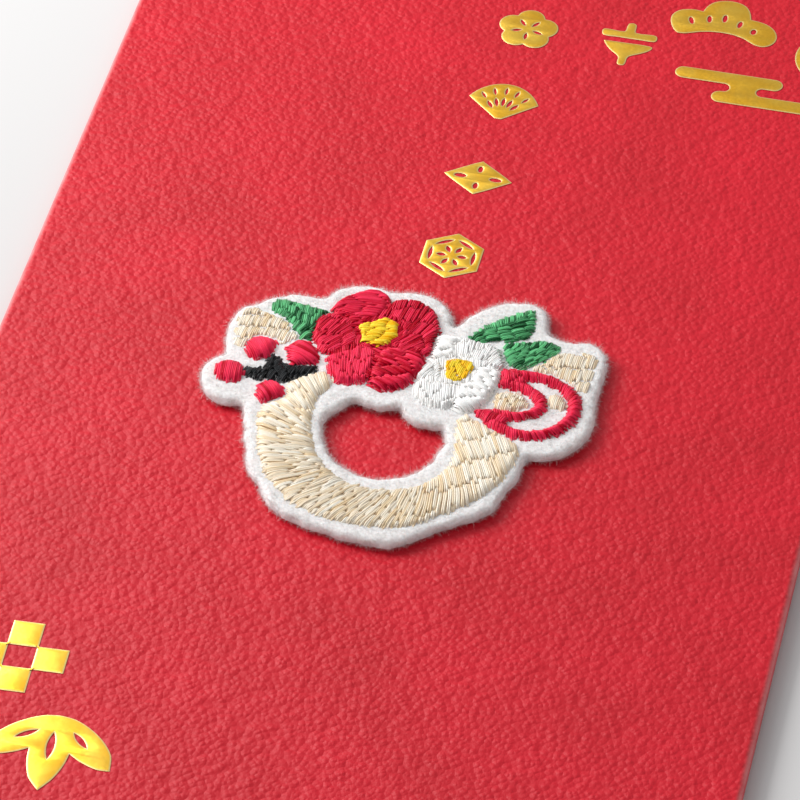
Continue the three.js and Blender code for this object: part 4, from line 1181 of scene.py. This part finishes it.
# a leaf's threads slope to its midrib from both sides
leafLook = {
    "leaf_left": {
        "keys": [(-12, 13.1, 100), (-10, 12.1, 96), (-12, 11.6, 44), (-10, 10.2, 52)], "longest": 1.1},
    "leaf_right_upper": {
        "keys": [(5.2, 15, 112), (7, 16.6, 108), (6.4, 13.6, 24), (8.2, 15.4, 32)], "longest": 1.2},
    "leaf_right_lower": {
        "keys": [(8.2, 13.4, 98), (10, 13.9, 92), (8.2, 11.6, 40), (10.2, 12.4, 48)], "longest": 1.1},
}
for node, look in leafLook.items():
    stitchedPiece(node, threads["green"], look)

berryLook = {
    "berry_1": {"angle": 126},
    "berry_2": {"angle": -24},
    "berry_3": {"angle": 96},
    "berry_4": {"angle": -48},
}
for node, look in berryLook.items():
    # the berries are one crimson thread made lighter, painted light on their rounded surfaces
    stitchedPiece(node, threads["crimson"], {"longest": 3, "toneAndPaintedLight": 0.8, **look})
stitchedPiece("berry_twig", threads["black"],
              {"angle": 70, "longest": 1.0, "spill": 0.32})


def acrossCord(points, slant):
    # threads lie across a cord, turned a little by slant
    line = np.array(points, float)
    run = np.gradient(line, axis=0)
    heading = np.degrees(np.arctan2(run[:, 1], run[:, 0]))
    return [(x, y, angle + 90 + slant) for (x, y), angle in zip(line, heading)]


cordLook = {
    "cord_outer_loop": [(7.6, 9.4), (9.4, 9.5), (10.8, 9.5), (12, 9.2), (13, 8.6), (13.8, 7.8),
                        (14.2, 6.8), (14.15, 5.7), (13.8, 4.6), (13, 3.5), (12, 2.8), (10.8, 2.5),
                        (9.6, 2.6), (8.7, 3), (7.5, 3.55)],
    "cord_inner_loop": [(7.9, 8.15), (9.1, 8.1), (10.1, 7.8), (10.9, 7.3), (11.4, 6.5), (11.3, 5.6),
                        (10.6, 4.9), (9.6, 4.5), (8.6, 4.4), (7.4, 4.55)],
}
for node, points in cordLook.items():
    look = {"keys": acrossCord(points, 24), "longest": 3, "spill": 0.24, "toneAndPaintedLight": 0.7}
    stitchedPiece(node, threads["crimson"], look)
# the loops meet in a little knot at both ends
knotLook = {
    "cord_upper_knot": {
        "rim": [(7.5, 7.7), (9.0, 7.7), (9.8, 8.5), (9.0, 9.6), (7.4, 9.8)], "angle": 108},
    "cord_lower_knot": {
        "rim": [(6.1, 4.3), (7.4, 3.2), (9.0, 3.1), (9.2, 4.2), (7.4, 4.8)], "angle": 70},
}
knotStitches = {"like": "cord_inner_loop", "longest": 1.4}
for name, look in knotLook.items():
    stitchedPiece(name, threads["crimson"], {**knotStitches, **look})
print("embroidery made")


# light, floor and camera
roomLook = {
    "floor": srgb(211, 210, 209),
    "world": srgb(250, 250, 252),
    "worldStrength": 0.47,
    "floorHalf": 3.0,      # metres
    # each lamp: where from, its distance and size in metres, and its power
    "lamps": {
        "softWindow": ((-0.85, 0.18, 0.5), 0.55, 0.2, 2.9),
        "windowSheen": ((-0.54, 0.52, 0.64), 0.22, 0.1, 0.18),
    },
}


def room():
    half = roomLook["floorHalf"]
    mesh = bpy.data.meshes.new("floor")
    corners = [(-half, -half, 0), (half, -half, 0), (half, half, 0), (-half, half, 0)]
    mesh.from_pydata(corners, [], [(0, 1, 2, 3)])
    kit = NodeKit("paleFloor")
    mesh.materials.append(kit.finish(Base_Color=roomLook["floor"], Roughness=0.8, Specular_IOR_Level=0.2))
    floor = addObject("floor", mesh)
    floor.location.z = -0.00002    # just clear of the paper
    world = bpy.data.worlds.new("softRoom")
    world.use_nodes = True
    background = world.node_tree.nodes["Background"]
    background.inputs["Color"].default_value = roomLook["world"]
    background.inputs["Strength"].default_value = roomLook["worldStrength"]
    bpy.context.scene.world = world


def lamps():
    aim = Vector((wreathCentre[0], wreathCentre[1], paperTop)) * mm
    for name, (comesFrom, distance, size, power) in roomLook["lamps"].items():
        lamp = bpy.data.lights.new(name, "AREA")
        lamp.size = size
        lamp.energy = power
        made = addObject(name, lamp)
        toLamp = Vector(comesFrom).normalized()
        made.location = aim + toLamp * distance
        made.rotation_euler = toLamp.to_track_quat("Z", "Y").to_euler()


photoView = {
    "elevation": 43.462,
    "turn": -12.703,
    "roll": -0.482,
    "distance": 408.13,              # from the point that it looks at, in millimetres
    "lens": 225.0,
    "sensor": 36,
    "aimOffset": -0.42,              # of that point from the envelope's centre line
    "aimPixel": (383.28, 443.40),    # where it lies in the picture
    "picture": 800,
}


def camera():
    turn, roll, tilt = (math.radians(photoView[k]) for k in ("turn", "roll", "elevation"))
    turned = Matrix.Rotation(turn, 3, "Z")
    look = Matrix(((1, 0, 0), (0, math.sin(tilt), math.cos(tilt)), (0, math.cos(tilt), -math.sin(tilt))))
    toView = Matrix.Rotation(roll, 3, "Z") @ look @ turned
    distance = photoView["distance"]
    perPixel = distance * photoView["sensor"] / photoView["lens"] / photoView["picture"]
    centre = photoView["picture"] / 2
    pixelX, pixelY = photoView["aimPixel"]
    offset = Vector(((pixelX - centre) * perPixel, (centre - pixelY) * perPixel, distance))
    aim = Vector((photoView["aimOffset"], wreathCentre[1], paperTop))
    data = bpy.data.cameras.new("photoView")
    data.lens = photoView["lens"]
    data.sensor_width = photoView["sensor"]
    data.clip_start = 0.02
    data.clip_end = 20
    made = addObject("photoView", data)
    right, up, forward = toView
    turnIn = Matrix((right, up, -forward)).transposed().to_4x4()
    made.matrix_world = Matrix.Translation((aim - toView.transposed() @ offset) * mm) @ turnIn
    bpy.context.scene.camera = made


room()
lamps()
camera()
bpy.context.scene.view_settings.view_transform = "Standard"
print("room, lamps and camera made")
